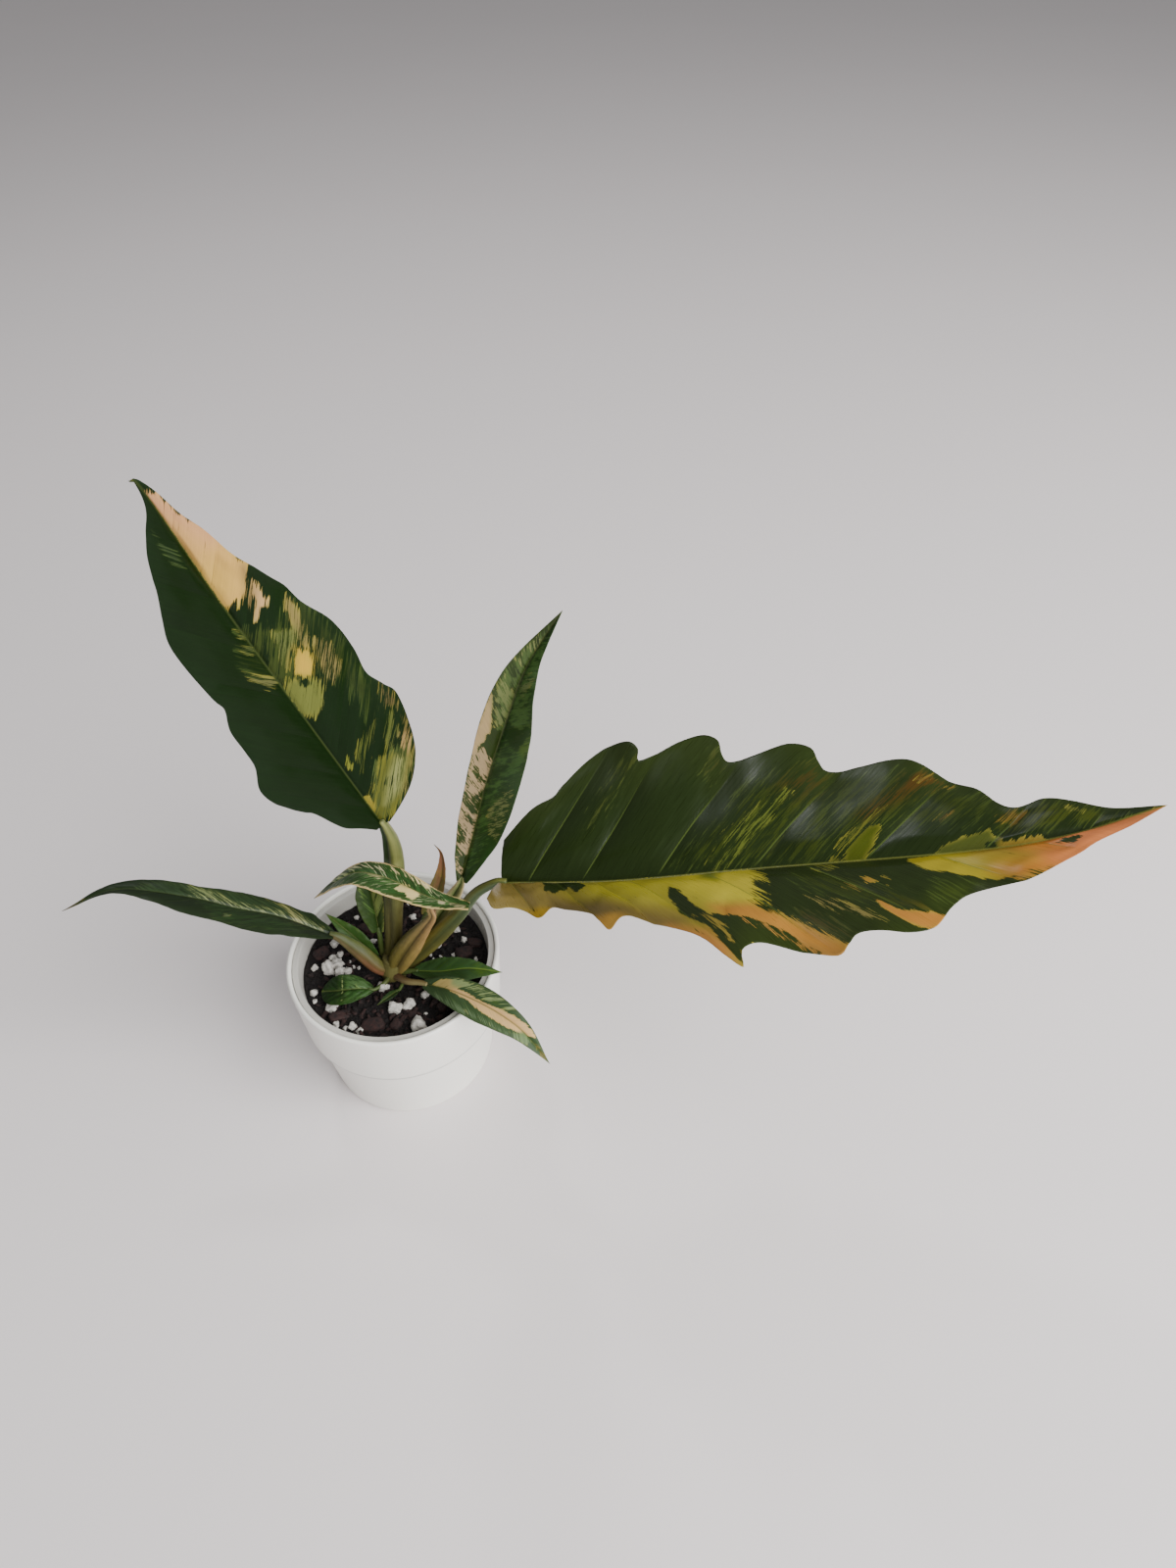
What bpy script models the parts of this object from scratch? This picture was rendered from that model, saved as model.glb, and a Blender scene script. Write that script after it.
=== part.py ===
"""Potted philodendron with marbled leaves, in a white pot with a grey inner pot.

Units are metres and +Z is up. The origin is the centre of the pot's flat base.
+X points along the giant leaf, and the front of the plant faces -Y.

Each leaf blade is drawn flat first, as two half outlines beside its midrib: a lobed
half through the knots of its margin, a plain one by a formula. It is then bent: the
midrib follows a smooth curve in space, the two halves fold up from it, and their
margins droop and wave.
"""

import math
from dataclasses import dataclass

import bpy
import numpy as np

# Pot, inner pot and mix
POT_HEIGHT = 0.0783
POT_RIM_RADIUS = 0.0500
POT_BAND_RADIUS = 0.0482
POT_BAND_BOTTOM = 0.0440
POT_STEP_RADIUS = 0.0458
POT_STEP_DROP = 0.0024
POT_STEP_RISE = 0.0010
POT_BASE_RADIUS = 0.0410
POT_WALL = 0.0022
POT_FLOOR = 0.0025
POT_EDGE = 0.0012
POT_INNER_DROP = 0.0016
POT_INNER_RISE = 0.0020
ROUND_SEGMENTS = 48
FIT_GAP = 0.0003
LINER_WALL = 0.0011
LINER_LIP_WIDTH = 0.0020
LINER_LIP_DROP = 0.0016
LINER_LIP_HEIGHT = 0.0012
LINER_LIP_ROOT = 0.0018
LINER_LIP_OVERHANG = 0.0009
LINER_TOP_CLEARANCE = 0.0021
SOIL_LEVEL = 0.0680
SOIL_RINGS = 17
SOIL_SEGMENTS = 64
SOIL_MOUND = 0.0008
SOIL_MOUND_RADIUS = 0.042
SOIL_RIPPLE = 0.0004
SOIL_RIPPLE_RATES = (900.0, 800.0)
PLUG_RADIUS = 0.0058
PLUG_BOTTOM = 0.0460
PLUG_TOP = 0.0600
PLUG_SEGMENTS = 16
PLUG_CLEARANCE = 0.0015
CROWN_CENTRE = (0.000, -0.005)
PERLITE_HEIGHT = 0.0017
PERLITE_FOOT = 1.25
BARK_HEIGHT = 0.0019
BARK_FLAT = 0.91
BARK_FOOT = 1.36

# Clusters of perlite on the mix: centre x, centre y, spread, count
PERLITE_CLUSTERS = (
    (-0.030, -0.003, 0.0028, 6),
    (-0.037, -0.019, 0.0014, 2),
    (-0.027, -0.025, 0.0007, 1),
    (-0.019, -0.035, 0.0021, 3),
    (-0.008, -0.016, 0.0000, 1),
    (0.004, -0.025, 0.0000, 1),
    (0.009, -0.022, 0.0000, 1),
    (0.016, -0.019, 0.0000, 1),
    (0.016, -0.031, 0.0021, 2),
    (0.023, 0.008, 0.0035, 4),
    (0.029, 0.016, 0.0021, 2),
    (-0.020, 0.022, 0.0042, 4),
    (0.005, 0.030, 0.0056, 5),
)
PERLITE_RADIUS = (0.0016, 0.0026)
PERLITE_SEED = 7

# Bark chunks: centre x, centre y, half length, half width, turn in degrees
BARK_CHUNKS = (
    (0.034, 0.004, 0.0060, 0.0045, 20),
    (-0.034, 0.007, 0.0050, 0.0040, -30),
    (-0.006, -0.033, 0.0065, 0.0040, 15),
    (-0.021, -0.026, 0.0075, 0.0025, 35),
    (0.030, -0.018, 0.0045, 0.0035, 60),
    (0.012, 0.018, 0.0070, 0.0040, -20),
    (-0.012, 0.030, 0.0055, 0.0040, 45),
)

BLADE_THICKNESS = 0.0008
TIP_THICKNESS = 0.0006
SEAT_GAP = 0.0004
VEIN_POWER = 1.4
BASE_FADE = 0.07
MARGIN_WAVE_SHIFT = 1.3
KNOT_STEP = 0.005
STATION_STEP = 0.007
LAST_STATION = 0.985
CURVE_POINTS = 201
GROOVE_ANGLE = 0.5


@dataclass
class Half:
    """One half of a blade, from its midrib to its margin.

    A lobed half has margin knots, each a share of the midrib's length and a distance from
    it in millimetres. A plain half has a width and the numbers that shape it.
    """

    width: float = 0.0
    widest: float = 0.35
    base: float = 0.25
    rise: float = 0.9
    taper: tuple = (1.6, 1.2)
    fold: tuple = (20, 12, 6)
    droop: float = 2.0
    margin: tuple = ()


@dataclass
class Blade:
    """A leaf blade: its midrib in space, the way its face points, and its halves."""

    name: str
    midrib: tuple
    face: tuple
    right: Half
    left: Half
    sweep: float = 0.08
    waves: float = 3.0
    wave_height: float = 0.0
    columns: tuple = (0.0, 0.12, 0.5, 1.0)
    stations: int = 14
    thickness: float = BLADE_THICKNESS
    rib: float = 0.0010
    colour: tuple = (0.10, 0.22, 0.07)


@dataclass
class Stalk:
    """A petiole: points from the crown up, and its radius at each and at its two seat points.

    It meets its blade in line with the midrib, or square to the underside at a place.
    """

    points: tuple
    radii: tuple
    groove: float = 0.0
    sides: int = 8
    rings: int = 8
    reach: float = 0.005
    under: float = 0.0


# The near half of the giant leaf: two hanging lobes, two teeth, a broad lobe, a drawn-out tip
GIANT_NEAR = (
    (0.010, 27), (0.033, 37), (0.055, 33.3), (0.078, 34.3), (0.107, 39.4), (0.117, 30.2), (0.145, 33.3),
    (0.19, 39), (0.208, 46), (0.228, 52.8), (0.238, 43), (0.262, 42.2), (0.32, 46.2), (0.36, 52),
    (0.395, 61.5), (0.423, 66), (0.419, 57), (0.445, 51.5), (0.50, 52.2), (0.548, 53.6), (0.563, 48.5),
    (0.58, 43.8), (0.64, 43), (0.675, 38.5), (0.70, 28.7), (0.73, 22.5), (0.80, 20), (0.86, 11.9),
    (0.90, 6.3), (0.95, 3.8), (1.0, 0),
)
# Its far half: a small shoulder and three round lobes that hook towards the tip
GIANT_FAR = (
    (0.0, 18), (0.045, 30.8), (0.079, 36.6), (0.095, 42.8), (0.135, 55), (0.175, 61.7), (0.215, 61.8),
    (0.235, 57), (0.235, 51.4), (0.262, 53.3), (0.305, 60), (0.342, 63.6), (0.366, 60.5), (0.372, 53.5),
    (0.385, 48.7), (0.425, 50), (0.475, 54.6), (0.51, 53), (0.521, 46.5), (0.535, 41.8), (0.58, 42.2),
    (0.645, 43), (0.68, 40), (0.72, 32.6), (0.757, 27.8), (0.785, 19), (0.81, 15.4), (0.851, 16.6),
    (0.89, 13), (0.94, 5.3), (1.0, 0),
)
TALL_RIGHT = (
    (0.0, 3), (0.04, 13.5), (0.08, 21.8), (0.14, 28.3), (0.22, 31.5), (0.30, 33.3), (0.335, 31), (0.38, 27.9),
    (0.45, 28.6), (0.54, 27.2), (0.61, 22), (0.67, 19.7), (0.74, 15), (0.79, 11), (0.85, 8), (0.90, 4.6),
    (0.95, 2.7), (1.0, 0),
)
TALL_LEFT = (
    (0.0, 3.5), (0.04, 8.3), (0.08, 13.8), (0.15, 18.8), (0.17, 21.4), (0.20, 24.7), (0.25, 28.2), (0.30, 28.8),
    (0.35, 25), (0.39, 24.2), (0.45, 23.6), (0.505, 20.4), (0.55, 21.2), (0.67, 21.3), (0.74, 17.8),
    (0.80, 14), (0.86, 10.5), (0.90, 6.5), (0.94, 2.2), (1.0, 0),
)
UPRIGHT_RIGHT = (
    (0.0, 3), (0.08, 6.6), (0.20, 11.6), (0.30, 13.7), (0.40, 15.2), (0.50, 15.2), (0.60, 14.7), (0.66, 13.8),
    (0.72, 12), (0.80, 8), (0.88, 4.2), (1.0, 0),
)
UPRIGHT_LEFT = (
    (0.0, 2.5), (0.08, 5), (0.14, 6.6), (0.26, 8.2), (0.40, 8.1), (0.50, 8.7), (0.60, 9.3), (0.70, 8.5),
    (0.79, 6.6), (0.88, 3.8), (1.0, 0),
)
LEFT_FAR = (
    (0.0, 2.3), (0.06, 5), (0.10, 6.9), (0.15, 6.4), (0.25, 7.6), (0.36, 8.9), (0.50, 6.6), (0.60, 6.7),
    (0.70, 6.2), (0.80, 4), (0.90, 1.8), (1.0, 0),
)
LEFT_NEAR = (
    (0.0, 2.7), (0.06, 6.5), (0.15, 10.9), (0.20, 13.1), (0.26, 15.1), (0.34, 14.6), (0.41, 12.8), (0.50, 12.9),
    (0.57, 11.4), (0.65, 8.2), (0.74, 5.4), (0.85, 2.4), (1.0, 0),
)

BLADES = (
    Blade(
        "giant_leaf",
        midrib=((0.0570, -0.0170, 0.1490), (0.1030, -0.0240, 0.1580), (0.1580, -0.0310, 0.1730),
                (0.2280, -0.0420, 0.1940), (0.2630, -0.0460, 0.2070), (0.2930, -0.0460, 0.2220)),
        face=((0.0, -0.05, 1.0), (0.0, 0.0, 1.0)),
        right=Half(fold=(37, 33, 18, 10, 6), droop=1.0, margin=GIANT_NEAR),
        left=Half(fold=(26, 24, 17, 10, 6), droop=1.0, margin=GIANT_FAR),
        sweep=0.10, waves=5.0, wave_height=0.0016, columns=(0.0, 0.06, 0.36, 0.70, 1.0),
        stations=18, rib=0.0014, colour=(0.13, 0.20, 0.05),
    ),
    Blade(
        "tall_leaf",
        midrib=((0.0090, -0.0040, 0.1720), (-0.0090, -0.0090, 0.2330), (-0.0210, -0.0180, 0.2850),
                (-0.0280, -0.0320, 0.3360), (-0.0300, -0.0360, 0.3430)),
        face=((0.15, -0.6, 0.78), (0.15, -0.6, 0.78)),
        right=Half(fold=(12, 12), margin=TALL_RIGHT),
        left=Half(fold=(12, 12), margin=TALL_LEFT),
        sweep=0.06, waves=4.0, wave_height=0.0012, columns=(0.0, 0.08, 0.50, 1.0),
        stations=14, rib=0.0012,
    ),
    Blade(
        "upright_leaf",
        midrib=((0.0370, 0.0010, 0.1300), (0.0460, -0.0030, 0.1660), (0.0540, -0.0090, 0.2000),
                (0.0650, -0.0170, 0.2400), (0.0735, -0.0250, 0.2690), (0.0860, -0.0330, 0.2970)),
        face=((0.15, -0.75, 0.62), (-0.25, -0.75, 0.60)),
        right=Half(fold=(30, 26), margin=UPRIGHT_RIGHT),
        left=Half(fold=(30, 26), margin=UPRIGHT_LEFT),
        sweep=0.05, waves=3.0, wave_height=0.0006, stations=12,
    ),
    Blade(
        "left_leaf",
        midrib=((-0.0240, -0.0050, 0.0980), (-0.0450, -0.0040, 0.1110), (-0.0630, -0.0050, 0.1190),
                (-0.0820, -0.0048, 0.1270), (-0.1110, -0.0060, 0.1340), (-0.1320, -0.0160, 0.1320)),
        face=((0.0, 0.10, 0.99), (0.0, 0.18, 0.98)),
        right=Half(fold=(12, 8), margin=LEFT_FAR),
        left=Half(fold=(12, 8), margin=LEFT_NEAR),
        sweep=0.05, stations=12,
    ),
    Blade(
        "front_leaf",
        midrib=((0.0430, -0.0220, 0.1400), (0.0280, -0.0200, 0.1430), (0.0170, -0.0160, 0.1460),
                (0.0060, -0.0110, 0.1470), (-0.0050, -0.0080, 0.1460), (-0.0150, -0.0080, 0.1400),
                (-0.0260, -0.0090, 0.1300)),
        face=((0.0, 0.33, 0.94), (-0.1, 0.20, 0.97)),
        right=Half(0.0080, widest=0.50, base=0.30, taper=(1.8, 1.1), fold=(6, 2)),
        left=Half(0.0100, widest=0.50, base=0.30, taper=(1.8, 1.1), fold=(2, -4)),
        sweep=0.04, stations=12, thickness=0.0007, rib=0.0006,
    ),
    Blade(
        "rear_leaf",
        midrib=((-0.0050, 0.0020, 0.0920), (-0.0060, 0.0070, 0.1040), (-0.0078, 0.0135, 0.1170),
                (-0.0094, 0.0168, 0.1235)),
        face=((0.0, -0.8, 0.6), (0.0, -0.8, 0.6)),
        right=Half(0.0068, widest=0.55, base=0.40, fold=(34, 34)),
        left=Half(0.0082, widest=0.55, base=0.40, fold=(34, 34)),
        sweep=0.04, stations=9, thickness=0.0007, rib=0.0006,
    ),
    Blade(
        "green_leaf",
        midrib=((0.0110, -0.0100, 0.0770), (0.0240, -0.0140, 0.0820), (0.0380, -0.0150, 0.0855),
                (0.0530, -0.0170, 0.0850)),
        face=((0.0, -0.15, 1.0), (0.0, -0.1, 1.0)),
        right=Half(0.0071, widest=0.60, base=0.30, fold=(14, 8)),
        left=Half(0.0067, widest=0.36, base=0.30, fold=(14, 8)),
        sweep=0.04, stations=9, thickness=0.0007, rib=0.0006,
        colour=(0.08, 0.26, 0.07),
    ),
    Blade(
        "rim_leaf",
        midrib=((0.0170, -0.0200, 0.0810), (0.0300, -0.0270, 0.0860), (0.0430, -0.0340, 0.0870),
                (0.0540, -0.0400, 0.0850), (0.0640, -0.0460, 0.0800), (0.0750, -0.0550, 0.0690)),
        face=((-0.2, -0.45, 0.9), (0.3, -0.5, 0.8)),
        right=Half(0.0086, widest=0.45, base=0.25, fold=(16, 10)),
        left=Half(0.0076, widest=0.42, base=0.25, fold=(16, 10)),
        sweep=0.04, stations=11, thickness=0.0007, rib=0.0006,
    ),
    Blade(
        "soil_leaf",
        midrib=((-0.0080, -0.0170, 0.0725), (-0.0150, -0.0180, 0.0745), (-0.0240, -0.0190, 0.0745),
                (-0.0320, -0.0180, 0.0725)),
        face=((0.0, -0.2, 1.0), (0.0, -0.2, 1.0)),
        right=Half(0.0075, widest=0.55, base=0.20, taper=(3.0, 0.8), fold=(6, 6)),
        left=Half(0.0075, widest=0.55, base=0.20, taper=(3.0, 0.8), fold=(6, 6)),
        sweep=0.02, stations=8, thickness=0.0007, rib=0.0005,
        colour=(0.09, 0.24, 0.07),
    ),
    Blade(
        "tiny_leaf",
        midrib=((0.0040, -0.0170, 0.0720), (0.0000, -0.0220, 0.0735), (-0.0050, -0.0260, 0.0730)),
        face=((0.0, 0.0, 1.0), (0.0, 0.0, 1.0)),
        right=Half(0.0020, widest=0.45, base=0.30, fold=(15, 15)),
        left=Half(0.0020, widest=0.45, base=0.30, fold=(15, 15)),
        sweep=0.02, stations=6, thickness=0.0006, rib=0.0003,
        columns=(0.0, 0.5, 1.0), colour=(0.09, 0.22, 0.07),
    ),
    Blade(
        "green_bract",
        midrib=((-0.0080, -0.0020, 0.0770), (-0.0150, 0.0010, 0.0855), (-0.0230, 0.0045, 0.0930),
                (-0.0300, 0.0080, 0.0980)),
        face=((0.2, -0.6, 0.75), (0.2, -0.6, 0.75)),
        right=Half(0.0034, widest=0.50, base=0.35, fold=(18, 14)),
        left=Half(0.0034, widest=0.50, base=0.35, fold=(18, 14)),
        sweep=0.02, stations=8, thickness=0.0007, rib=0.0005,
        colour=(0.13, 0.32, 0.06),
    ),
    Blade(
        "dry_sheath",
        midrib=((0.0180, 0.0020, 0.1030), (0.0250, 0.0050, 0.1180), (0.0280, 0.0070, 0.1280),
                (0.0285, 0.0095, 0.1370), (0.0255, 0.0105, 0.1425)),
        face=((-0.75, -0.5, 0.3), (-0.75, -0.5, 0.1)),
        right=Half(0.0034, widest=0.22, base=0.45, fold=(40, 40)),
        left=Half(0.0034, widest=0.22, base=0.45, fold=(40, 40)),
        sweep=0.02, stations=10, thickness=0.0007, rib=0.0004,
        columns=(0.0, 0.5, 1.0), colour=(0.33, 0.20, 0.12),
    ),
)

CROWN = Stalk(
    points=((0.0, -0.005, 0.0560), (0.0, -0.005, 0.0680), (0.0, -0.0045, 0.0740), (0.001, -0.004, 0.0800)),
    radii=(0.0055, 0.0060, 0.0066, 0.0050), sides=16, rings=6,
)

STALKS = {
    "giant_leaf": Stalk(((0.004, -0.004, 0.0710), (0.018, -0.003, 0.0880), (0.030, -0.006, 0.1080),
                         (0.039, -0.011, 0.1260), (0.046, -0.0145, 0.1400)),
                        (0.0034, 0.0032, 0.0029, 0.0026, 0.0023, 0.0019, 0.0017), 0.15, 10, 13),
    "tall_leaf": Stalk(((-0.001, -0.003, 0.0720), (0.002, 0.001, 0.0920), (0.005, 0.003, 0.1150),
                        (0.009, 0.001, 0.1420), (0.0105, -0.002, 0.1590)),
                       (0.0042, 0.0038, 0.0036, 0.0043, 0.0032, 0.0020, 0.0016), 0.20, 10, 13),
    "upright_leaf": Stalk(((0.005, -0.003, 0.0720), (0.017, -0.001, 0.0920), (0.028, 0.002, 0.1100),
                           (0.033, 0.003, 0.1190)),
                          (0.0030, 0.0027, 0.0026, 0.0022, 0.0014, 0.0012), 0.10, 8, 9),
    "left_leaf": Stalk(((-0.002, -0.006, 0.0710), (-0.007, -0.0075, 0.0775), (-0.014, -0.006, 0.0870)),
                       (0.0030, 0.0032, 0.0032, 0.0022, 0.0015), 0.15, 10, 8),
    "front_leaf": Stalk(((0.001, -0.006, 0.0720), (0.006, -0.006, 0.0840), (0.014, -0.009, 0.1010),
                         (0.021, -0.014, 0.1170), (0.0260, -0.0190, 0.1300)),
                        (0.0048, 0.0056, 0.0050, 0.0036, 0.0022, 0.0016, 0.0013), 0.30, 12, 12,
                        under=0.20),
    "rear_leaf": Stalk(((-0.003, -0.003, 0.0720), (-0.0050, 0.000, 0.0800)),
                       (0.0018, 0.0016, 0.0013, 0.0011), 0.0, 8, 5),
    "green_leaf": Stalk(((0.002, -0.007, 0.0715), (0.0050, -0.0085, 0.0740)),
                        (0.0018, 0.0016, 0.0013, 0.0011), 0.0, 8, 5, reach=0.003),
    "rim_leaf": Stalk(((0.001, -0.009, 0.0718), (0.008, -0.0155, 0.0765)),
                      (0.0019, 0.0017, 0.0014, 0.0012), 0.0, 8, 6),
    "soil_leaf": Stalk(((-0.001, -0.008, 0.0718), (-0.0030, -0.0130, 0.0722)),
                       (0.0015, 0.0012, 0.0009, 0.0008), 0.0, 8, 5, reach=0.003),
    "tiny_leaf": Stalk(((0.001, -0.009, 0.0718), (0.0050, -0.0125, 0.0722)),
                       (0.0013, 0.0010, 0.0008, 0.0006), 0.0, 8, 5, reach=0.0025),
    "green_bract": Stalk(((-0.003, -0.004, 0.0720), (-0.0050, -0.0035, 0.0740)),
                         (0.0018, 0.0016, 0.0012, 0.0011), 0.0, 8, 5, reach=0.002),
    "dry_sheath": Stalk(((0.012, -0.002, 0.0840), (0.0140, 0.0000, 0.0930)),
                        (0.0020, 0.0018, 0.0013, 0.0011), 0.0, 8, 5),
}


def unit(vectors):
    """Vectors scaled to length one."""
    return vectors / np.linalg.norm(vectors, axis=-1, keepdims=True)


def smooth_curve(points, count):
    """Points evenly spaced along a Catmull-Rom curve through the given points."""
    knots = np.array(points, dtype=float)
    padded = np.vstack([2 * knots[0] - knots[1], knots, 2 * knots[-1] - knots[-2]])
    fine = []
    for first in range(len(knots) - 1):
        p0, p1, p2, p3 = padded[first:first + 4]
        t = np.linspace(0.0, 1.0, 25)[:, None]
        fine.append(0.5 * (2 * p1 + (p2 - p0) * t + (2 * p0 - 5 * p1 + 4 * p2 - p3) * t ** 2
                           + (3 * p1 - p0 - 3 * p2 + p3) * t ** 3)[:-1])
    fine = np.vstack(fine + [knots[-1:]])
    length = np.concatenate([[0.0], np.cumsum(np.linalg.norm(np.diff(fine, axis=0), axis=1))])
    wanted = np.linspace(0.0, length[-1], count)
    return np.stack([np.interp(wanted, length, fine[:, axis]) for axis in range(3)], axis=-1)


def spread(values, places):
    """Values given at even steps from base to tip, read at any places between."""
    values = np.array(values, dtype=float)
    steps = np.linspace(0.0, 1.0, len(values))
    if values.ndim == 1:
        return np.interp(places, steps, values)
    return np.stack([np.interp(places, steps, values[:, axis]) for axis in range(3)], axis=-1)


def half_width(half, along):
    """Width of a plain half at each place: it rises to its widest, then tapers.

    Up to the widest place it is a quarter sine to a power, above the base width; past
    it, it is (1 - x^a)^b.
    """
    rise = np.clip(along / half.widest, 0.0, 1.0)
    grown = half.base + (1.0 - half.base) * np.sin(rise * math.pi / 2) ** half.rise
    fall = np.clip((along - half.widest) / (1.0 - half.widest), 0.0, 1.0)
    inward, outward = half.taper
    return half.width * np.where(along < half.widest, grown, (1.0 - fall ** inward) ** outward)


def vein_lead(blade, start):
    """How far ahead of its start on the midrib a side vein meets the margin."""
    return blade.sweep * (1.0 - start) * (1.0 - np.exp(-start / BASE_FADE))


def knot_starts(blade, half):
    """Starts on the midrib of the side veins that end at a half's margin knots.

    A knot's vein starts a lead behind it, and always a step past the vein of the knot before.
    """
    fine = np.linspace(0.0, 1.0, 2001)
    starts = np.interp([along for along, _ in half.margin], fine + vein_lead(blade, fine), fine)
    starts[0] = 0.0
    for place in range(1, len(starts)):
        starts[place] = max(starts[place], starts[place - 1] + KNOT_STEP)
    return starts


def margin_reach(blade, half, start):
    """Where the side veins meet the margin: shares of the midrib's length and distances from it.

    A lobed half's margin is a Catmull-Rom curve through its knots, which may overhang.
    """
    if not half.margin:
        along = start + vein_lead(blade, start)
        return along, half_width(half, along)
    knots = np.array(half.margin, dtype=float)
    padded = np.vstack([2 * knots[0] - knots[1], knots, 2 * knots[-1] - knots[-2]])
    place = np.interp(start, knot_starts(blade, half), np.arange(len(knots)))
    first = np.minimum(place.astype(int), len(knots) - 2)
    t = (place - first)[..., None]
    p0, p1, p2, p3 = (padded[first + shift] for shift in range(4))
    point = 0.5 * (2 * p1 + (p2 - p0) * t + (2 * p0 - 5 * p1 + 4 * p2 - p3) * t ** 2
                   + (3 * p1 - p0 - 3 * p2 + p3) * t ** 3)
    return point[..., 0], np.maximum(point[..., 1], 0.0) / 1000


def blade_stations(blade):
    """Places along the midrib where the coarse blade is cut, with one at each margin knot."""
    knots = [mark for half in (blade.right, blade.left) if half.margin for mark in knot_starts(blade, half)]
    marks = sorted([*np.linspace(0.0, 1.0, blade.stations), *knots])
    kept = [0.0]
    for mark in marks:
        if mark - kept[-1] > STATION_STEP and mark < LAST_STATION:
            kept.append(mark)
    return np.array(kept)


def blade_surface(blade, start, across):
    """The bent surface at vein starts and signed shares across, right side positive."""
    line = smooth_curve(blade.midrib, CURVE_POINTS)
    length = np.linalg.norm(np.diff(line, axis=0), axis=1).sum()
    share = np.abs(across)
    is_right = across >= 0.0
    right_end, right_width = margin_reach(blade, blade.right, start)
    left_end, left_width = margin_reach(blade, blade.left, start)
    along = start + (np.where(is_right, right_end, left_end) - start) * share ** VEIN_POWER
    offset = np.where(is_right, right_width, left_width) * share
    inside = np.clip(along, 0.0, 1.0)
    steps = np.linspace(0.0, 1.0, len(line))
    slope = unit(np.gradient(line, axis=0))
    centre = np.stack([np.interp(inside, steps, line[:, axis]) for axis in range(3)], axis=-1)
    forward = unit(np.stack([np.interp(inside, steps, slope[:, axis]) for axis in range(3)], axis=-1))
    centre = centre + forward * ((along - inside) * length)[..., None]
    face = spread(blade.face, inside)
    up = unit(face - (face * forward).sum(-1, keepdims=True) * forward)
    side = np.cross(forward, up)
    angle = np.radians(np.where(is_right, spread(blade.right.fold, inside), spread(blade.left.fold, inside)))
    droop = np.where(is_right, blade.right.droop, blade.left.droop)
    phase = 2 * math.pi * blade.waves * along + is_right * MARGIN_WAVE_SHIFT
    fade = np.clip(4.0 * (1.0 - inside), 0.0, 1.0)
    rise = offset * np.sin(angle) - droop * offset ** 2 + blade.wave_height * np.sin(phase) * share ** 2 * fade
    signed = np.where(is_right, offset, -offset)
    return centre + side * (signed * np.cos(angle))[..., None] + up * rise[..., None]


def surface_normals(grid):
    """Unit normals of a grid of points, on the side of the blade's face."""
    down = np.gradient(grid, axis=0)
    across = np.gradient(grid, axis=1)
    return unit(np.cross(across, down))


def blade_mesh(blade):
    """A thin closed solid round the bent surface, split alike on both faces."""
    columns = np.array(blade.columns)
    shares = np.concatenate([-columns[::-1], columns[1:]])
    starts = blade_stations(blade)
    start, across = np.meshgrid(starts, shares, indexing="ij")
    grid = blade_surface(blade, start, across)
    normal = surface_normals(grid)
    thick = np.interp(start, [0.0, 1.0], [blade.thickness, TIP_THICKNESS])
    rib = blade.rib * (1.0 - start) * (np.abs(across) < 1e-9)
    top = grid + normal * (thick / 2)[..., None]
    under = grid - normal * (thick / 2 + rib)[..., None]
    tip = blade_surface(blade, np.array([1.0]), np.array([0.0]))[0]
    tip_normal = normal[-1, len(shares) // 2] * TIP_THICKNESS / 2
    rows, wide = start.shape
    verts = np.vstack([top.reshape(-1, 3), under.reshape(-1, 3), tip + tip_normal, tip - tip_normal])
    lower = rows * wide
    tip_top, tip_under = 2 * lower, 2 * lower + 1
    index = np.arange(lower).reshape(rows, wide)
    faces = []
    for row in range(rows - 1):
        for column in range(wide - 1):
            a, b = index[row, column], index[row, column + 1]
            c, d = index[row + 1, column + 1], index[row + 1, column]
            halves = ((a, b, c), (a, c, d)) if column < wide // 2 else ((a, b, d), (b, c, d))
            for one, two, three in halves:
                faces.append((one, two, three))
                faces.append((lower + three, lower + two, lower + one))
    last = index[-1]
    for column in range(wide - 1):
        a, b = last[column], last[column + 1]
        faces.append((a, b, tip_top))
        faces.append((tip_under, lower + b, lower + a))
    rim = list(index[:, 0]) + [tip_top] + list(index[::-1, -1]) + list(index[0, -2:0:-1])
    for one, two in zip(rim, rim[1:] + rim[:1]):
        under_one = tip_under if one == tip_top else lower + one
        under_two = tip_under if two == tip_top else lower + two
        faces.append((one, two, under_two))
        faces.append((one, under_two, under_one))
    return verts, faces


def seat_points(stalk, blade):
    """The last two points of a petiole, so that its flat end faces the blade it carries."""
    line = smooth_curve(blade.midrib, CURVE_POINTS)
    spot = max(1, int(round(stalk.under * (CURVE_POINTS - 1))))
    forward = unit(line[spot + 1] - line[spot - 1])
    if stalk.under > 0.0:
        face = spread(blade.face, np.array([stalk.under]))[0]
        heading = unit(face - (face @ forward) * forward)
        end = line[spot] - heading * (blade.thickness / 2 + blade.rib + SEAT_GAP)
    else:
        heading = forward
        end = line[0] - heading * SEAT_GAP
    return tuple(end - heading * stalk.reach), tuple(end)


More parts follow.
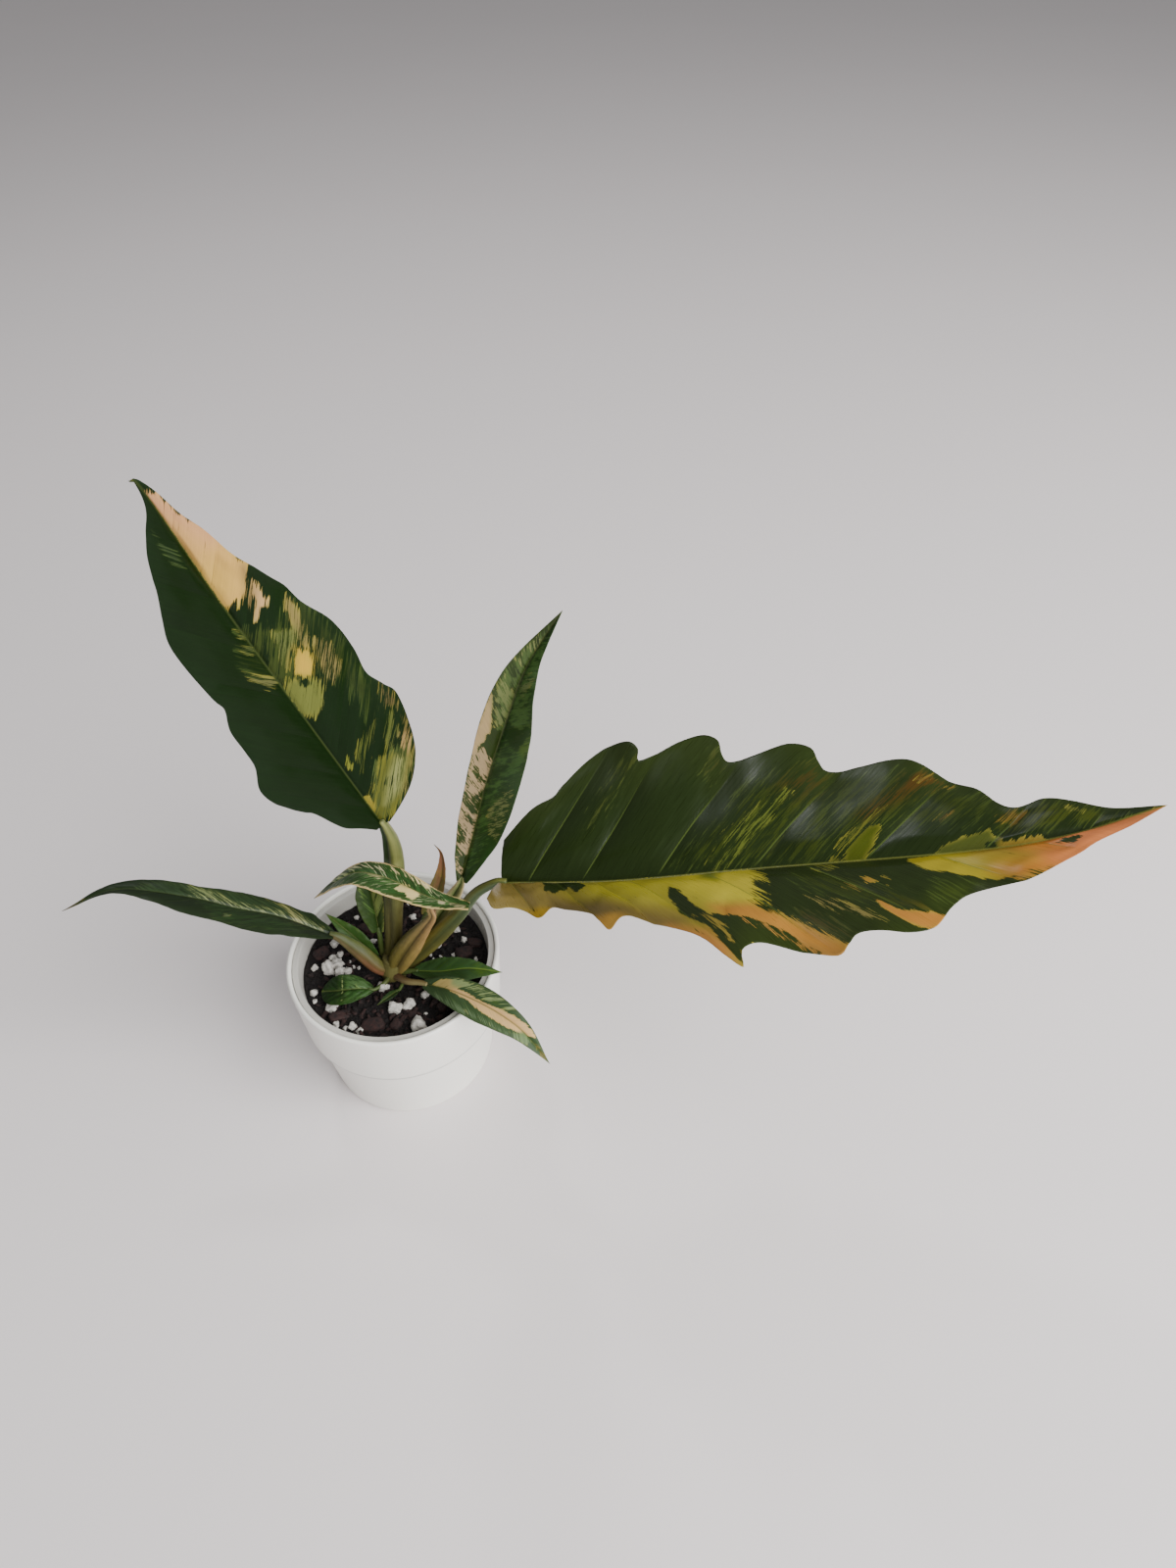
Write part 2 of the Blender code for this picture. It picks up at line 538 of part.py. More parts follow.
def stalk_mesh(stalk, blade=None):
    """A tapered tube with a shallow groove along it, closed at both ends."""
    seat = seat_points(stalk, blade) if blade else ()
    line = smooth_curve(stalk.points + seat, 120)
    places = np.linspace(0.0, 1.0, stalk.rings)
    steps = np.linspace(0.0, 1.0, len(line))
    centre = np.stack([np.interp(places, steps, line[:, axis]) for axis in range(3)], axis=-1)
    slope = unit(np.gradient(line, axis=0))
    forward = unit(np.stack([np.interp(places, steps, slope[:, axis]) for axis in range(3)], axis=-1))
    radius = spread(stalk.radii, places)
    front = np.array([0.0, -1.0, 0.35])
    up = unit(front - (forward @ front)[:, None] * forward)
    side = np.cross(forward, up)
    turn = np.arange(stalk.sides) * 2 * math.pi / stalk.sides
    dent = 1.0 - stalk.groove * np.exp(-(np.minimum(turn, 2 * math.pi - turn) / GROOVE_ANGLE) ** 2)
    ring = radius[:, None] * dent[None, :]
    points = (centre[:, None] + up[:, None] * (ring * np.cos(turn))[..., None]
              + side[:, None] * (ring * np.sin(turn))[..., None])
    verts = points.reshape(-1, 3)
    faces = []
    for row in range(stalk.rings - 1):
        for column in range(stalk.sides):
            a = row * stalk.sides + column
            b = row * stalk.sides + (column + 1) % stalk.sides
            faces.append((a, a + stalk.sides, b + stalk.sides, b))
    faces.append(tuple(range(stalk.sides)))
    faces.append(tuple(reversed(range((stalk.rings - 1) * stalk.sides, stalk.rings * stalk.sides))))
    return verts, faces


def turned_mesh(profile, segments):
    """A profile of radius and height turned round +Z, closed where it meets the axis."""
    turn = np.arange(segments) * 2 * math.pi / segments
    verts = []
    rings = []
    for radius, height in profile:
        rings.append(len(verts))
        verts.extend((radius * math.cos(angle), radius * math.sin(angle), height) for angle in turn)
    faces = []
    for lower, upper in zip(rings, rings[1:]):
        for step in range(segments):
            ahead = (step + 1) % segments
            faces.append((lower + step, lower + ahead, upper + ahead, upper + step))
    faces.append(tuple(reversed(range(rings[0], rings[0] + segments))))
    faces.append(tuple(range(rings[-1], rings[-1] + segments)))
    return np.array(verts), faces


def quarter_arc(centre, radius, first, last, steps):
    """Points of a round edge in the profile plane, from one angle to another in degrees."""
    angles = np.radians(np.linspace(first, last, steps))
    return [(centre[0] + radius * math.cos(angle), centre[1] + radius * math.sin(angle)) for angle in angles]


def pot_profile():
    """Outside of the pot from its base up, over the rim, and down inside to its floor."""
    lip = POT_WALL / 2
    outside = quarter_arc((POT_BASE_RADIUS - POT_EDGE, POT_EDGE), POT_EDGE, -90, 0, 4)
    step = [(POT_STEP_RADIUS, POT_BAND_BOTTOM - POT_STEP_DROP),
            (POT_BAND_RADIUS, POT_BAND_BOTTOM + POT_STEP_RISE)]
    rim = quarter_arc((POT_RIM_RADIUS - lip, POT_HEIGHT - lip), lip, 0, 180, 6)
    inner_step = POT_STEP_RADIUS - POT_WALL
    inside = [(POT_BAND_RADIUS - POT_WALL, POT_BAND_BOTTOM + POT_INNER_RISE),
              (inner_step, POT_BAND_BOTTOM - POT_INNER_DROP), (POT_BASE_RADIUS - POT_WALL, POT_FLOOR)]
    return outside + step + rim + inside


def liner_outer_radius(height):
    """Outer radius of the inner pot's wall: it keeps the fit gap inside the outer pot."""
    inner_base = POT_BASE_RADIUS - POT_WALL - FIT_GAP
    inner_step = POT_STEP_RADIUS - POT_WALL - FIT_GAP
    top = POT_RIM_RADIUS - POT_WALL - LINER_TOP_CLEARANCE
    heights = [POT_FLOOR, POT_BAND_BOTTOM - POT_INNER_DROP, POT_HEIGHT - LINER_LIP_DROP]
    return float(np.interp(height, heights, [inner_base, inner_step, top]))


def liner_profile():
    """Inner pot: floor, tapered wall and a flat lip just under the outer pot's rim."""
    bottom = POT_FLOOR + FIT_GAP
    top = POT_HEIGHT - LINER_LIP_DROP
    lip_outer = liner_outer_radius(top) + LINER_LIP_OVERHANG
    bend = POT_BAND_BOTTOM - POT_INNER_DROP
    root = top - LINER_LIP_ROOT
    outside = [(liner_outer_radius(bottom), bottom), (liner_outer_radius(bend), bend),
               (liner_outer_radius(root), root), (lip_outer, top - LINER_LIP_HEIGHT), (lip_outer, top)]
    lip_inner = lip_outer - LINER_LIP_WIDTH
    inside = [(lip_inner, top), (liner_outer_radius(root) - LINER_WALL, root),
              (liner_outer_radius(bend) - LINER_WALL, bend),
              (liner_outer_radius(bottom) - LINER_WALL, bottom + LINER_WALL)]
    return outside + inside


def perlite_grains():
    """Centre x, centre y and radius of each perlite grain, drawn cluster by cluster."""
    draw = np.random.default_rng(PERLITE_SEED)
    grains = []
    for x, y, reach, count in PERLITE_CLUSTERS:
        for _ in range(count):
            shift = draw.normal(0.0, 1.0, 2) * reach
            grains.append((x + shift[0], y + shift[1], draw.uniform(*PERLITE_RADIUS)))
    return grains


def soil_height(x, y):
    """Height of the mix: a low mound, domes for perlite and flat lumps for bark."""
    height = SOIL_LEVEL + SOIL_MOUND * (1.0 - (x ** 2 + y ** 2) / SOIL_MOUND_RADIUS ** 2)
    height = height + SOIL_RIPPLE * np.sin(SOIL_RIPPLE_RATES[0] * x + 1.0) * np.sin(SOIL_RIPPLE_RATES[1] * y)
    for centre_x, centre_y, half_length, half_across, turn in BARK_CHUNKS:
        cosine, sine = math.cos(math.radians(turn)), math.sin(math.radians(turn))
        u = ((x - centre_x) * cosine + (y - centre_y) * sine) / half_length
        v = (-(x - centre_x) * sine + (y - centre_y) * cosine) / half_across
        apart = (u ** 4 + v ** 4) ** 0.25
        height = height + BARK_HEIGHT * np.clip((BARK_FOOT - apart) / (BARK_FOOT - BARK_FLAT), 0.0, 1.0)
    for centre_x, centre_y, radius in perlite_grains():
        apart = ((x - centre_x) ** 2 + (y - centre_y) ** 2) / (PERLITE_FOOT * radius) ** 2
        height = height + PERLITE_HEIGHT * np.sqrt(np.clip(1.0 - apart, 0.0, 1.0))
    return height


def mix_mesh():
    """The mix: relief on top, a tapered wall, a flat bottom and a plain hole for the stem."""
    turn = np.arange(SOIL_SEGMENTS) * 2 * math.pi / SOIL_SEGMENTS
    wall = FIT_GAP + LINER_WALL
    edge_top = liner_outer_radius(SOIL_LEVEL) - wall
    hole = PLUG_RADIUS + PLUG_CLEARANCE
    share = np.linspace(0.0, 1.0, SOIL_RINGS)[:, None]
    hole_x = CROWN_CENTRE[0] + hole * np.cos(turn)
    hole_y = CROWN_CENTRE[1] + hole * np.sin(turn)
    x = hole_x + (edge_top * np.cos(turn) - hole_x) * share
    y = hole_y + (edge_top * np.sin(turn) - hole_y) * share
    top = np.stack([x, y, soil_height(x, y)], axis=-1)
    bend = POT_BAND_BOTTOM - POT_INNER_DROP
    bottom = POT_FLOOR + 2 * FIT_GAP + LINER_WALL
    rings = [top[row] for row in range(SOIL_RINGS)]
    for height in (bend, bottom):
        radius = liner_outer_radius(height) - wall
        flat = np.full(SOIL_SEGMENTS, height)
        rings.append(np.stack([radius * np.cos(turn), radius * np.sin(turn), flat], axis=-1))
    hole_floor = PLUG_BOTTOM - FIT_GAP
    pit = np.stack([hole_x, hole_y, np.full(SOIL_SEGMENTS, hole_floor)], axis=-1)
    rings.insert(0, pit)
    verts = np.vstack(rings)
    faces = []
    for row in range(len(rings) - 1):
        for column in range(SOIL_SEGMENTS):
            a = row * SOIL_SEGMENTS + column
            b = row * SOIL_SEGMENTS + (column + 1) % SOIL_SEGMENTS
            faces.append((a, a + SOIL_SEGMENTS, b + SOIL_SEGMENTS))
            faces.append((a, b + SOIL_SEGMENTS, b))
    faces.append(tuple(range(SOIL_SEGMENTS)))
    faces.append(tuple(reversed(range(len(verts) - SOIL_SEGMENTS, len(verts)))))
    return verts, faces


def clear_scene():
    """Remove every object of the scene."""
    for thing in list(bpy.data.objects):
        bpy.data.objects.remove(thing, do_unlink=True)


def make_material(name, colour, roughness):
    """A plain finish with a colour and a roughness."""
    material = bpy.data.materials.new(name)
    material.use_nodes = True
    shader = material.node_tree.nodes["Principled BSDF"]
    shader.inputs["Base Color"].default_value = (*colour, 1.0)
    shader.inputs["Roughness"].default_value = roughness
    shader.inputs["Metallic"].default_value = 0.0
    return material


def make_object(name, verts, faces, material, sharp_angle=40):
    """One object from points and faces, shaded smooth up to an angle."""
    mesh = bpy.data.meshes.new(name)
    mesh.from_pydata([tuple(point) for point in verts], [], [tuple(int(i) for i in face) for face in faces])
    mesh.materials.append(material)
    mesh.shade_smooth()
    mesh.set_sharp_from_angle(angle=math.radians(sharp_angle))
    mesh.update()
    thing = bpy.data.objects.new(name, mesh)
    bpy.context.scene.collection.objects.link(thing)
    return thing


def plug_mesh():
    """The buried foot of the crown, a plain cylinder that stands in the mix's hole."""
    wall = [(PLUG_RADIUS, PLUG_BOTTOM), (PLUG_RADIUS, PLUG_TOP)]
    verts, faces = turned_mesh(wall, PLUG_SEGMENTS)
    verts = verts + np.array([CROWN_CENTRE[0], CROWN_CENTRE[1], 0.0])
    return verts, faces


def make_stem(material):
    """The crown with every petiole, joined as one body by one union."""
    stem = make_object("stem_with_petioles", *plug_mesh(), material)
    parts = bpy.data.collections.new("stalks")
    bpy.context.scene.collection.children.link(parts)
    pieces = [("crown", stalk_mesh(CROWN))]
    pieces += [(blade.name, stalk_mesh(STALKS[blade.name], blade)) for blade in BLADES]
    for name, (verts, faces) in pieces:
        piece = make_object("stalk_" + name, verts, faces, material)
        bpy.context.scene.collection.objects.unlink(piece)
        parts.objects.link(piece)
    union = stem.modifiers.new("union", "BOOLEAN")
    union.operation = "UNION"
    union.operand_type = "COLLECTION"
    union.collection = parts
    union.solver = "EXACT"
    bpy.context.view_layer.update()
    evaluated = stem.evaluated_get(bpy.context.evaluated_depsgraph_get())
    joined = bpy.data.meshes.new_from_object(evaluated)
    stem.modifiers.remove(union)
    stem.data = joined
    for piece in list(parts.objects):
        bpy.data.objects.remove(piece, do_unlink=True)
    bpy.data.collections.remove(parts)
    return stem


def build():
    """Model the pot, the mix, the stem and every blade."""
    clear_scene()
    white = make_material("pot_white", (0.80, 0.79, 0.75), 0.35)
    grey = make_material("liner_grey", (0.45, 0.44, 0.42), 0.50)
    mix = make_material("potting_mix", (0.045, 0.028, 0.022), 0.95)
    stalks = make_material("petiole", (0.30, 0.24, 0.08), 0.45)
    make_object("pot_outer", *turned_mesh(pot_profile(), ROUND_SEGMENTS), white)
    make_object("pot_liner", *turned_mesh(liner_profile(), ROUND_SEGMENTS), grey)
    make_object("potting_mix", *mix_mesh(), mix)
    make_stem(stalks)
    for blade in BLADES:
        verts, faces = blade_mesh(blade)
        finish = make_material(blade.name, blade.colour, 0.35)
        make_object(blade.name, verts, faces, finish, 60)


build()
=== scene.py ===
"""Dressed model of a young climbing plant with marbled leaves in a round white pot.

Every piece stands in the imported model's frame: metres, +Z up, the origin at the centre
of the pot's flat base, +X along the giant leaf, the front of the plant towards -Y.
Long runs of numbers are flat: points in millimetres, and on a blade pairs of a place in
thousandths of the midrib's length and a distance from the midrib in millimetres.
"""

import functools
import logging
import math
from dataclasses import dataclass
from enum import Enum

import bpy
import numpy as np
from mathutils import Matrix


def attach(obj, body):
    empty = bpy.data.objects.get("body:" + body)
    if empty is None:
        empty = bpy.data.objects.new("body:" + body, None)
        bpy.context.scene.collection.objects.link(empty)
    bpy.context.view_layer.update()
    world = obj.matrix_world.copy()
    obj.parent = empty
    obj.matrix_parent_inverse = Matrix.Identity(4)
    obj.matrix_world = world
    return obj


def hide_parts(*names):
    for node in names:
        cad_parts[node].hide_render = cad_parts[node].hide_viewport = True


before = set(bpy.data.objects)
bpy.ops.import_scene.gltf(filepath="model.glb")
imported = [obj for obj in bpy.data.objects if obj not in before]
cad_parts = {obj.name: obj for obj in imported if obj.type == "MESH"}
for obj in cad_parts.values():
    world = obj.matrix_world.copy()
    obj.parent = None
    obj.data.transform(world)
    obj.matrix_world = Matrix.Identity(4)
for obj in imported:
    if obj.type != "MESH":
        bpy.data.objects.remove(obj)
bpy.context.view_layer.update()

LOG = logging.getLogger("potted_plant")
Colour = tuple[float, float, float]
Point = tuple[float, float, float]
SEED = 11
MM = 0.001
TURN = 2 * math.pi
BLADE_PAIR = (0.001, 1.0)


def paint(code: str) -> Colour:
    """Linear colour of a painter's hex code.

    Args:
        code: six hex digits, red, green and blue.

    Returns:
        Linear red, green and blue.
    """
    parts = [int(code[place:place + 2], 16) / 255 for place in (0, 2, 4)]
    return tuple(part / 12.92 if part <= 0.04045 else ((part + 0.055) / 1.055) ** 2.4 for part in parts)


def in_rows(numbers: tuple, *units: float) -> np.ndarray:
    """A flat run of numbers as rows, each number times its column's unit."""
    return np.reshape(np.array(numbers, dtype=float), (-1, len(units))) * units


def unit(vectors: np.ndarray) -> np.ndarray:
    """Vectors scaled to length one."""
    return vectors / np.maximum(np.linalg.norm(vectors, axis=-1, keepdims=True), 1e-12)


def square_to(face: np.ndarray, forward: np.ndarray) -> np.ndarray:
    """The part of a direction that stands square to another one, at length one."""
    return unit(face - (face * forward).sum(-1, keepdims=True) * forward)


def smooth_step(values: np.ndarray, low: float, high: float) -> np.ndarray:
    """A smooth rise from 0 at low to 1 at high: 3t^2 - 2t^3 of the clipped share t."""
    share = np.clip((values - low) / (high - low), 0.0, 1.0)
    return share * share * (3.0 - 2.0 * share)


def bell(values: np.ndarray, width: float) -> np.ndarray:
    """A bell curve: e to the minus square of the value over the width."""
    return np.exp(-(values / width) ** 2)


def spread(values: object, places: np.ndarray, steps: object = None) -> np.ndarray:
    """Values given at steps, even ones from 0 to 1 unless told, read at any places between.

    Args:
        values: numbers, or rows of numbers.
        places: where to read them.
        steps: where they stand.

    Returns:
        The values read, with a last axis for rows.
    """
    table = np.array(values, dtype=float)
    marks = np.linspace(0.0, 1.0, len(table)) if steps is None else steps
    if table.ndim == 1:
        return np.interp(places, marks, table)
    return np.stack([np.interp(places, marks, column) for column in table.T], axis=-1)


def catmull_rom(knots: np.ndarray, place: np.ndarray) -> np.ndarray:
    """Points on the cubic curve that passes through knots, each along the line between its neighbours.

    Args:
        knots: the knots, n by m; the curve is carried on straight past both ends.
        place: how many knots along the curve each point lies.

    Returns:
        One point for each place.
    """
    padded = np.vstack([2 * knots[0] - knots[1], knots, 2 * knots[-1] - knots[-2]])
    first = np.minimum(place.astype(int), len(knots) - 2)
    t = (place - first)[..., None]
    p0, p1, p2, p3 = (padded[first + shift] for shift in range(4))
    return 0.5 * (2 * p1 + (p2 - p0) * t + (2 * p0 - 5 * p1 + 4 * p2 - p3) * t ** 2
                  + (3 * p1 - p0 - 3 * p2 + p3) * t ** 3)


def smooth_curve(knots: np.ndarray, count: int) -> np.ndarray:
    """Points evenly spaced along the curve through knots in space.

    Args:
        knots: the points it passes through, n by 3.
        count: how many points to give back.

    Returns:
        An array of count by 3.
    """
    line = catmull_rom(knots, np.linspace(0.0, len(knots) - 1.0, 24 * (len(knots) - 1) + 1))
    length = np.concatenate([[0.0], np.cumsum(np.linalg.norm(np.diff(line, axis=0), axis=1))])
    return spread(line, np.linspace(0.0, length[-1], count), length)


def line_length(line: np.ndarray) -> float:
    """Length of a line of points."""
    return float(np.linalg.norm(np.diff(line, axis=0), axis=1).sum())


def carry(line: np.ndarray, places: np.ndarray, face: np.ndarray) -> tuple[np.ndarray, ...]:
    """The frame carried along a line, its face kept as near a given direction as it can be.

    Args:
        line: points along the line.
        places: places along it, 0 to 1.
        face: the direction, or one for each place.

    Returns:
        Points of the line, and the forward, upward and sideways directions there.
    """
    forward = unit(spread(unit(np.gradient(line, axis=0)), places))
    up = square_to(face, forward)
    return spread(line, places), forward, up, np.cross(forward, up)


def grid_faces(rows: int, columns: int, wrap: bool = False, first: int = 0, flip: bool = False) -> np.ndarray:
    """Four-sided faces of a grid of vertices numbered row by row.

    Args:
        rows: how many rows of vertices.
        columns: how many vertices a row has.
        wrap: joins each row's last vertex to its first.
        first: the number of the grid's first vertex.
        flip: turns the faces over.

    Returns:
        An array of faces by 4.
    """
    step = np.arange(columns if wrap else columns - 1)
    row = np.arange(rows - 1)[:, None] * columns
    a = (row + step).ravel()
    b = (row + (step + 1) % columns).ravel()
    faces = np.stack([a, b, b + columns, a + columns], axis=-1) + first
    return faces[:, ::-1] if flip else faces


def end_fans(rows: int, columns: int, flip: bool = False) -> np.ndarray:
    """Triangles that close a wrapped grid's first and last row onto two vertices numbered after the grid.

    Args:
        rows: how many rows of vertices.
        columns: how many vertices a row has.
        flip: turns the triangles over.

    Returns:
        An array of triangles by 3.
    """
    around = np.arange(columns)
    ahead = (around + 1) % columns
    last = (rows - 1) * columns
    fans = np.concatenate([np.stack([ahead, around, np.full(columns, rows * columns)], axis=-1),
                           np.stack([last + around, last + ahead, np.full(columns, rows * columns + 1)], axis=-1)])
    return fans[:, ::-1] if flip else fans


def wobble(x: np.ndarray, y: np.ndarray, seed: int, size: float, octaves: int = 4) -> np.ndarray:
    """Soft seeded noise of two coordinates: sums of crossed sine waves, each octave finer and weaker.

    Args:
        x: first coordinate.
        y: second coordinate.
        seed: picks the directions and phases.
        size: the coarsest wavelength, in the coordinates' unit.
        octaves: how many octaves are summed.

    Returns:
        Values of about -1 to 1.
    """
    draw = np.random.default_rng(seed)
    total = np.zeros(np.broadcast(x, y).shape)
    weight = 1.0
    for octave in range(octaves):
        for _ in range(3):
            angle, phase = draw.uniform(0.0, TURN, 2)
            rate = TURN / size * 1.9 ** octave * draw.uniform(0.8, 1.25)
            total = total + weight * np.sin(rate * (x * math.cos(angle) + y * math.sin(angle)) + phase)
        weight *= 0.55
    return total / 4.0


def with_alpha(tones: np.ndarray) -> np.ndarray:
    """Colours with a last column of ones."""
    return np.concatenate([tones, np.ones((len(tones), 1))], axis=1)


def put_mesh(name: str, verts: np.ndarray, faces: np.ndarray, material: bpy.types.Material,
             triangles: np.ndarray | None = None, colours: dict[str, np.ndarray] | None = None,
             vectors: dict[str, np.ndarray] | None = None) -> bpy.types.Object:
    """Makes one smooth object from points, faces and what is painted on its points.

    Args:
        name: the piece's name.
        verts: points, n by 3.
        faces: four-sided faces, m by 4.
        material: its finish.
        triangles: three-sided faces, if it has any.
        colours: colour attributes by name, n by 4.
        vectors: vector attributes by name, n by 3.

    Returns:
        The object, linked to the scene.
    """
    mesh = bpy.data.meshes.new(name)
    corners = faces.reshape(-1)
    starts = np.arange(len(faces)) * 4
    totals = np.full(len(faces), 4)
    if triangles is not None:
        starts = np.concatenate([starts, len(corners) + np.arange(len(triangles)) * 3])
        totals = np.concatenate([totals, np.full(len(triangles), 3)])
        corners = np.concatenate([corners, triangles.reshape(-1)])
    mesh.vertices.add(len(verts))
    mesh.vertices.foreach_set("co", np.asarray(verts, dtype=np.float32).ravel())
    mesh.loops.add(len(corners))
    mesh.loops.foreach_set("vertex_index", corners.astype(np.int32))
    mesh.polygons.add(len(starts))
    mesh.polygons.foreach_set("loop_start", starts.astype(np.int32))
    mesh.polygons.foreach_set("loop_total", totals.astype(np.int32))
    mesh.update(calc_edges=True)
    mesh.validate()
    mesh.shade_smooth()
    for kind, field, layers in (("FLOAT_COLOR", "color", colours), ("FLOAT_VECTOR", "vector", vectors)):
        for key, values in (layers or {}).items():
            layer = mesh.attributes.new(key, kind, "POINT")
            layer.data.foreach_set(field, np.asarray(values, dtype=np.float32).ravel())
    mesh.materials.append(material)
    thing = bpy.data.objects.new(name, mesh)
    bpy.context.scene.collection.objects.link(thing)
    return thing


def settle(thing: bpy.types.Object, slot: str, *nodes: str) -> None:
    """Makes a piece ride on the plant's one body and stand for its nodes, whose CAD parts it hides.

    Args:
        thing: the piece.
        slot: the record's material slot; not used.
        nodes: the CAD nodes that it stands for.
    """
    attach(thing, "root")
    if nodes:
        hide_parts(*nodes)
    LOG.info("%s: %d faces, stands for %s", thing.name, len(thing.data.polygons), ", ".join(nodes) or "nothing")


def inside_distance(points: np.ndarray, outline: np.ndarray, scale: tuple[float, float]) -> np.ndarray:
    """Signed distance of flat points from a closed outline, positive inside it.

    The distance is the least one to any edge of the outline; its sign comes from how many
    edges a line drawn from the point to one side crosses.

    Args:
        points: n by 2, in the outline's own coordinates.
        outline: the outline's corners in order.
        scale: millimetres in one unit of each coordinate.

    Returns:
        n distances in millimetres.
    """
    spot = points * scale
    first = outline * scale
    second = np.roll(first, -1, axis=0)
    edge = second - first
    gap = spot[:, None] - first[None]
    share = np.clip((gap * edge).sum(-1) / np.maximum((edge ** 2).sum(-1), 1e-12), 0.0, 1.0)
    nearest = np.linalg.norm(gap - share[..., None] * edge, axis=-1).min(axis=1)
    rise = second[:, 1] - first[:, 1]
    above = (first[:, 1] > spot[:, None, 1]) != (second[:, 1] > spot[:, None, 1])
    reach = first[:, 0] + edge[:, 0] * (spot[:, None, 1] - first[:, 1]) / np.where(rise == 0.0, 1.0, rise)
    crossings = (above & (spot[:, None, 0] < reach)).sum(axis=1)
    return np.where(crossings % 2 == 1, nearest, -nearest)


class Tone(Enum):
    """The layer of a blade's colour that a patch is painted on."""

    PALE = "pale"
    MID = "mid"
    DARK = "dark"


@dataclass(frozen=True)
class Patch:
    """A patch of variegation: an outline as pairs of a place along the blade and a distance across it.

    Its strength is how much of it is covered: 1 is solid, 0.5 is broken into streaks.
    Its edge is ragged within soft millimetres.
    """

    tone: Tone
    outline: tuple
    strength: float
    soft: float
    colour: str = "000000"


def pale(colour: str, *outline: float, strength: float = 1.0, soft: float = 2.5) -> Patch:
    """A patch of pale, chlorophyll-free tissue."""
    return Patch(Tone.PALE, outline, strength, soft, colour)


def mid(colour: str, *outline: float, strength: float = 1.0, soft: float = 3.0) -> Patch:
    """A patch of half-green tissue between the dark and the pale."""
    return Patch(Tone.MID, outline, strength, soft, colour)


def dark(*outline: float, strength: float = 1.0, soft: float = 2.0) -> Patch:
    """An island of dark green left inside pale tissue."""
    return Patch(Tone.DARK, outline, strength, soft)


class Sheet:
    """A node tree that is being drawn: a material's or a shared group's."""

    def __init__(self, tree: bpy.types.NodeTree) -> None:
        """Keeps the tree."""
        self.tree = tree

    def feed(self, sockets: object, items: dict) -> None:
        """Feeds inputs: a socket is linked, and a number, vector or colour is set.

        Args:
            sockets: a node's inputs.
            items: what to feed, by the input's name or number.
        """
        for key, item in items.items():
            if isinstance(item, bpy.types.NodeSocket):
                self.tree.links.new(item, sockets[key])
            else:
                sockets[key].default_value = (*item, 1.0) if sockets[key].type == "RGBA" else item

    def node(self, kind: str, inputs: dict | None = None, **settings: object) -> bpy.types.Node:
        """Adds a node, sets it up and feeds it.

        Args:
            kind: Blender's name of the node type, less its first word.
            inputs: what to feed, by the input's name or number.
            settings: the node's own settings.

        Returns:
            The node.
        """
        made = self.tree.nodes.new("ShaderNode" + kind)
        for key, value in settings.items():
            setattr(made, key, value)
        self.feed(made.inputs, inputs or {})
        return made

    def maths(self, operation: str, first: object, second: object = 0.0) -> object:
        """Output of a Math node on sockets or numbers."""
        return self.node("Math", {0: first, 1: second}, operation=operation).outputs[0]

    def vector(self, operation: str, inputs: dict) -> object:
        """Output of a Vector Math node on sockets or vectors."""
        return self.node("VectorMath", inputs, operation=operation).outputs[0]

    def mix(self, share: object, first: object, second: object) -> object:
        """Output of a colour Mix node, the first colour at share 0 and the second at share 1."""
        return self.node("Mix", {0: share, 6: first, 7: second}, data_type="RGBA").outputs[2]

    def noise(self, place: object, scale: object, detail: float, roughness: float) -> object:
        """Value output of a noise texture at a place."""
        inputs = {"Vector": place, "Scale": scale, "Detail": detail, "Roughness": roughness}
        return self.node("TexNoise", inputs).outputs["Fac"]

    def ramp(self, value: object, span: tuple, ends: tuple = (0.0, 1.0), kind: str = "LINEAR") -> object:
        """Output of a Map Range node.

        Args:
            value: what is mapped.
            span: the values that become the two ends.
            ends: what they become.
            kind: the node's way of blending.

        Returns:
            The output socket.
        """
        inputs = {"Value": value, "From Min": span[0], "From Max": span[1], "To Min": ends[0], "To Max": ends[1]}
        return self.node("MapRange", inputs, interpolation_type=kind).outputs[0]

    def bump(self, height: object, strength: float, distance: float) -> object:
        """Normal output of a Bump node."""
        return self.node("Bump", {"Height": height, "Strength": strength, "Distance": distance}).outputs[0]

    def shared(self, group: bpy.types.ShaderNodeTree, inputs: dict) -> object:
        """Outputs of one of the shared groups, placed and fed here."""
        return self.node("Group", inputs, node_tree=group).outputs


def new_group(name: str, inputs: dict[str, str], outputs: dict[str, str]) -> tuple:
    """An empty node group with named sockets.

    Args:
        name: the group's name.
        inputs: socket types by socket name.
        outputs: the same for what it puts out.

    Returns:
        The group, its sheet, its input node's outputs and its output node's inputs.
    """
    tree = bpy.data.node_groups.new(name, "ShaderNodeTree")
    for way, sockets in (("INPUT", inputs), ("OUTPUT", outputs)):
        for label, kind in sockets.items():
            tree.interface.new_socket(name=label, in_out=way, socket_type="NodeSocket" + kind)
    return tree, Sheet(tree), tree.nodes.new("NodeGroupInput").outputs, tree.nodes.new("NodeGroupOutput").inputs


def new_material(name: str) -> tuple:
    """A new node material.

    Args:
        name: its name.

    Returns:
        The material, its sheet and its Principled shader's inputs.
    """
    made = bpy.data.materials.new(name)
    made.use_nodes = True
    return made, Sheet(made.node_tree), made.node_tree.nodes["Principled BSDF"].inputs


